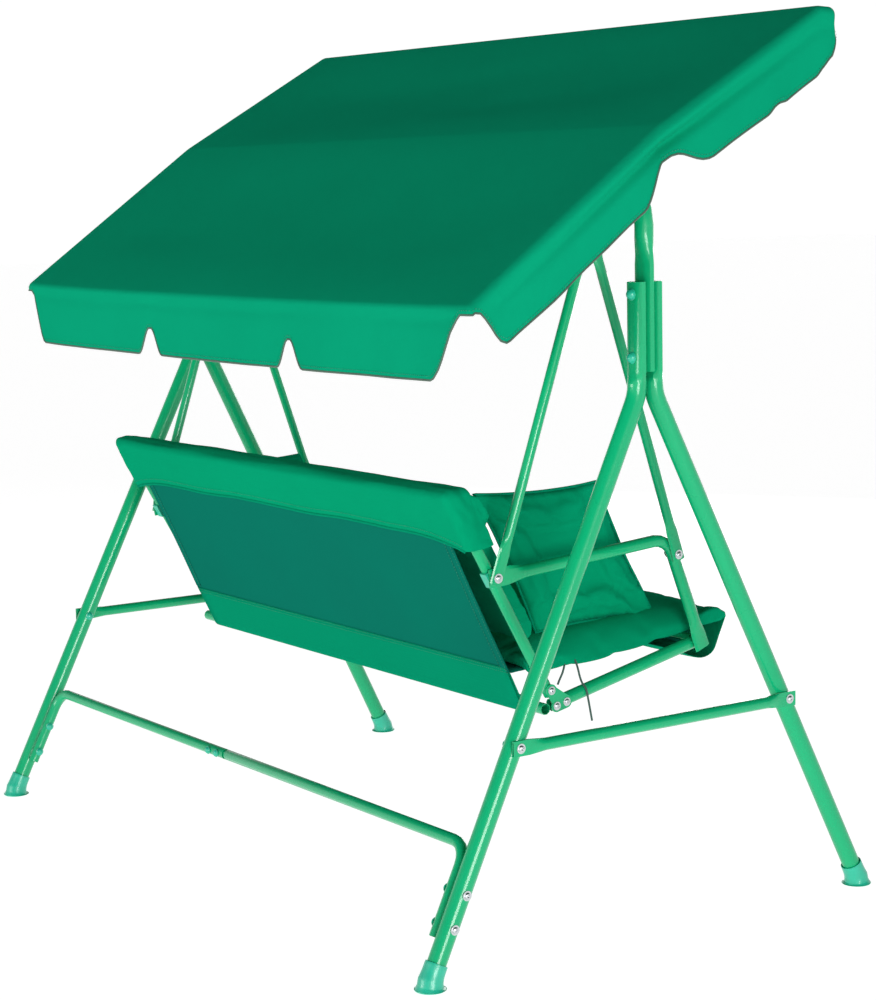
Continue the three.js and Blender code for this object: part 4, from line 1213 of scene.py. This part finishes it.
def make_pillow(side, sx):
    """A square pillow of two sewn sheets, blown up between them, leaning with the back."""
    half, count = 0.145, 40
    vertices, index = [], {}
    for layer in (-1, 1):
        for i in range(count + 1):
            for j in range(count + 1):
                u, v = 2 * i / count - 1, 2 * j / count - 1
                rim = i in (0, count) or j in (0, count)
                if rim and (i, j) in index:
                    index[layer, i, j] = index[i, j]
                    continue
                pull = 0.055
                a = u * (1 - pull * (1 - v * v) * abs(u)) * half
                b = v * (1 - pull * (1 - u * u) * abs(v)) * half
                swell = 0.030 * ((1 - u ** 4) * (1 - v ** 4)) ** 0.5
                vertices.append((layer * swell, a, b))
                index[layer, i, j] = len(vertices) - 1
                if rim:
                    index[i, j] = len(vertices) - 1
    faces = []
    for layer in (-1, 1):
        for i in range(count):
            for j in range(count):
                ring = [index[layer, i, j], index[layer, i + 1, j], index[layer, i + 1, j + 1],
                        index[layer, i, j + 1]]
                faces.append(tuple(ring if layer > 0 else reversed(ring)))
    pillow = face_out(mesh_piece(f"pillow_{side}", vertices, faces, None, None))
    rims = {index[i, j] for i in range(count + 1) for j in range(count + 1) if (i, j) in index}
    held = [1.0 if k in rims else 0.0 for k in range(len(vertices))]
    inflate(pillow, held, pressure=5.0, frames=18, cap=0.034, growth=0.06)
    lean = 0.48
    slump = 1.0 if sx < 0 else 0.86
    centre = seat_point(sx * 0.549, -0.019, 0.520 + 0.139 * slump)
    wave = np.array([v.co for v in pillow.data.vertices])
    placed = []
    for x, a, b in wave:
        soft = 0.004 * cloth_wave((x * 4, a * 3, b * 3), 0.25, 40 + sx)
        placed.append(centre + Vector((x + soft, a + lean * b, b * 0.95 * slump)))
    pillow.data.vertices.foreach_set("co", np.array(placed, np.float32).ravel())
    finish_piece(pillow, "seat", CUSHION_CLOTH)
    rim = [index[i, 0] for i in range(count)] + [index[count, j] for j in range(count)]
    rim += [index[i, count] for i in range(count, 0, -1)] + [index[0, j] for j in range(count, 0, -1)]
    ribbon(f"pillow_piping_{side}", [placed[k] for k in rim], 0.0052, 0.0052, "seat", LINING, closed=True)
    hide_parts(f"throw_pillow_{side}")


def make_cushions():
    for pad, node in ((make_seat_pad(), "seat_cushion"), (make_back_pad(), "back_cushion")):
        finish_piece(pad, "seat", CUSHION_CLOTH)
        modify(pad, "SUBSURF", levels=1, render_levels=1)
        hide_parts(node)
    make_hood()
    make_pocket()
    for side, sx in SIDES:
        make_pillow(side, sx)


make_cushions()

# ------------------------------------------------------------------ studio


FLOOR_GLOW = 0.93
HORIZON_LIGHT = 1.02
ZENITH_LIGHT = 0.03
HORIZON_HEIGHT = 0.08
ZENITH_HEIGHT = 0.48


def make_floor():
    floor = Finish("studio_floor", (0.36, 0.36, 0.36), 0.8)
    floor.set("Specular IOR Level", 0.1)
    floor.set("Emission Color", (1, 1, 1, 1))
    floor.set("Emission Strength", FLOOR_GLOW)
    floor.tint(floor.ramp(floor.grain(3, 3), 0, 1), (0.985, 0.985, 0.985), 0.5)
    size = 40.0
    corners = [(-size, -size, 0), (size, -size, 0), (size, size, 0), (-size, size, 0)]
    piece = mesh_piece("floor", corners, [(0, 1, 2, 3)], None, None)
    piece.data.materials.append(floor.material)


def make_area_light(name, place, aim, size, power):
    data = bpy.data.lights.new(name, "AREA")
    data.shape = "RECTANGLE"
    data.size, data.size_y = size
    data.energy = power
    light = bpy.data.objects.new(name, data)
    light.location = place
    light.rotation_mode = "QUATERNION"
    light.rotation_quaternion = (Vector(aim) - Vector(place)).to_track_quat("-Z", "Y")
    bpy.context.scene.collection.objects.link(light)


def make_world():
    world = bpy.data.worlds.new("studio")
    bpy.context.scene.world = world
    world.use_nodes = True
    tree = world.node_tree
    background = tree.nodes["Background"]
    background.inputs["Color"].default_value = (1, 1, 1, 1)
    direction = tree.nodes.new("ShaderNodeTexCoord")
    split = tree.nodes.new("ShaderNodeSeparateXYZ")
    fade = tree.nodes.new("ShaderNodeMapRange")
    fade.interpolation_type = "SMOOTHSTEP"
    limits = (("From Min", HORIZON_HEIGHT), ("From Max", ZENITH_HEIGHT),
              ("To Min", HORIZON_LIGHT), ("To Max", ZENITH_LIGHT))
    for name, number in limits:
        fade.inputs[name].default_value = number
    tree.links.new(direction.outputs["Generated"], split.inputs[0])
    tree.links.new(split.outputs["Z"], fade.inputs["Value"])
    tree.links.new(fade.outputs[0], background.inputs["Strength"])


make_floor()
make_world()
make_area_light("key", (-5.6, 1.6, 0.9), (0, 0, 0.9), (2.4, 1.4), 175)
make_area_light("rear_fill", (0.8, 6.0, 0.9), (0, 0, 0.9), (3.0, 1.4), 150)
make_area_light("front_fill", (3.0, -4.5, 1.2), (0, 0, 0.8), (3.0, 2.0), 60)
bpy.context.scene.view_settings.view_transform = "Standard"
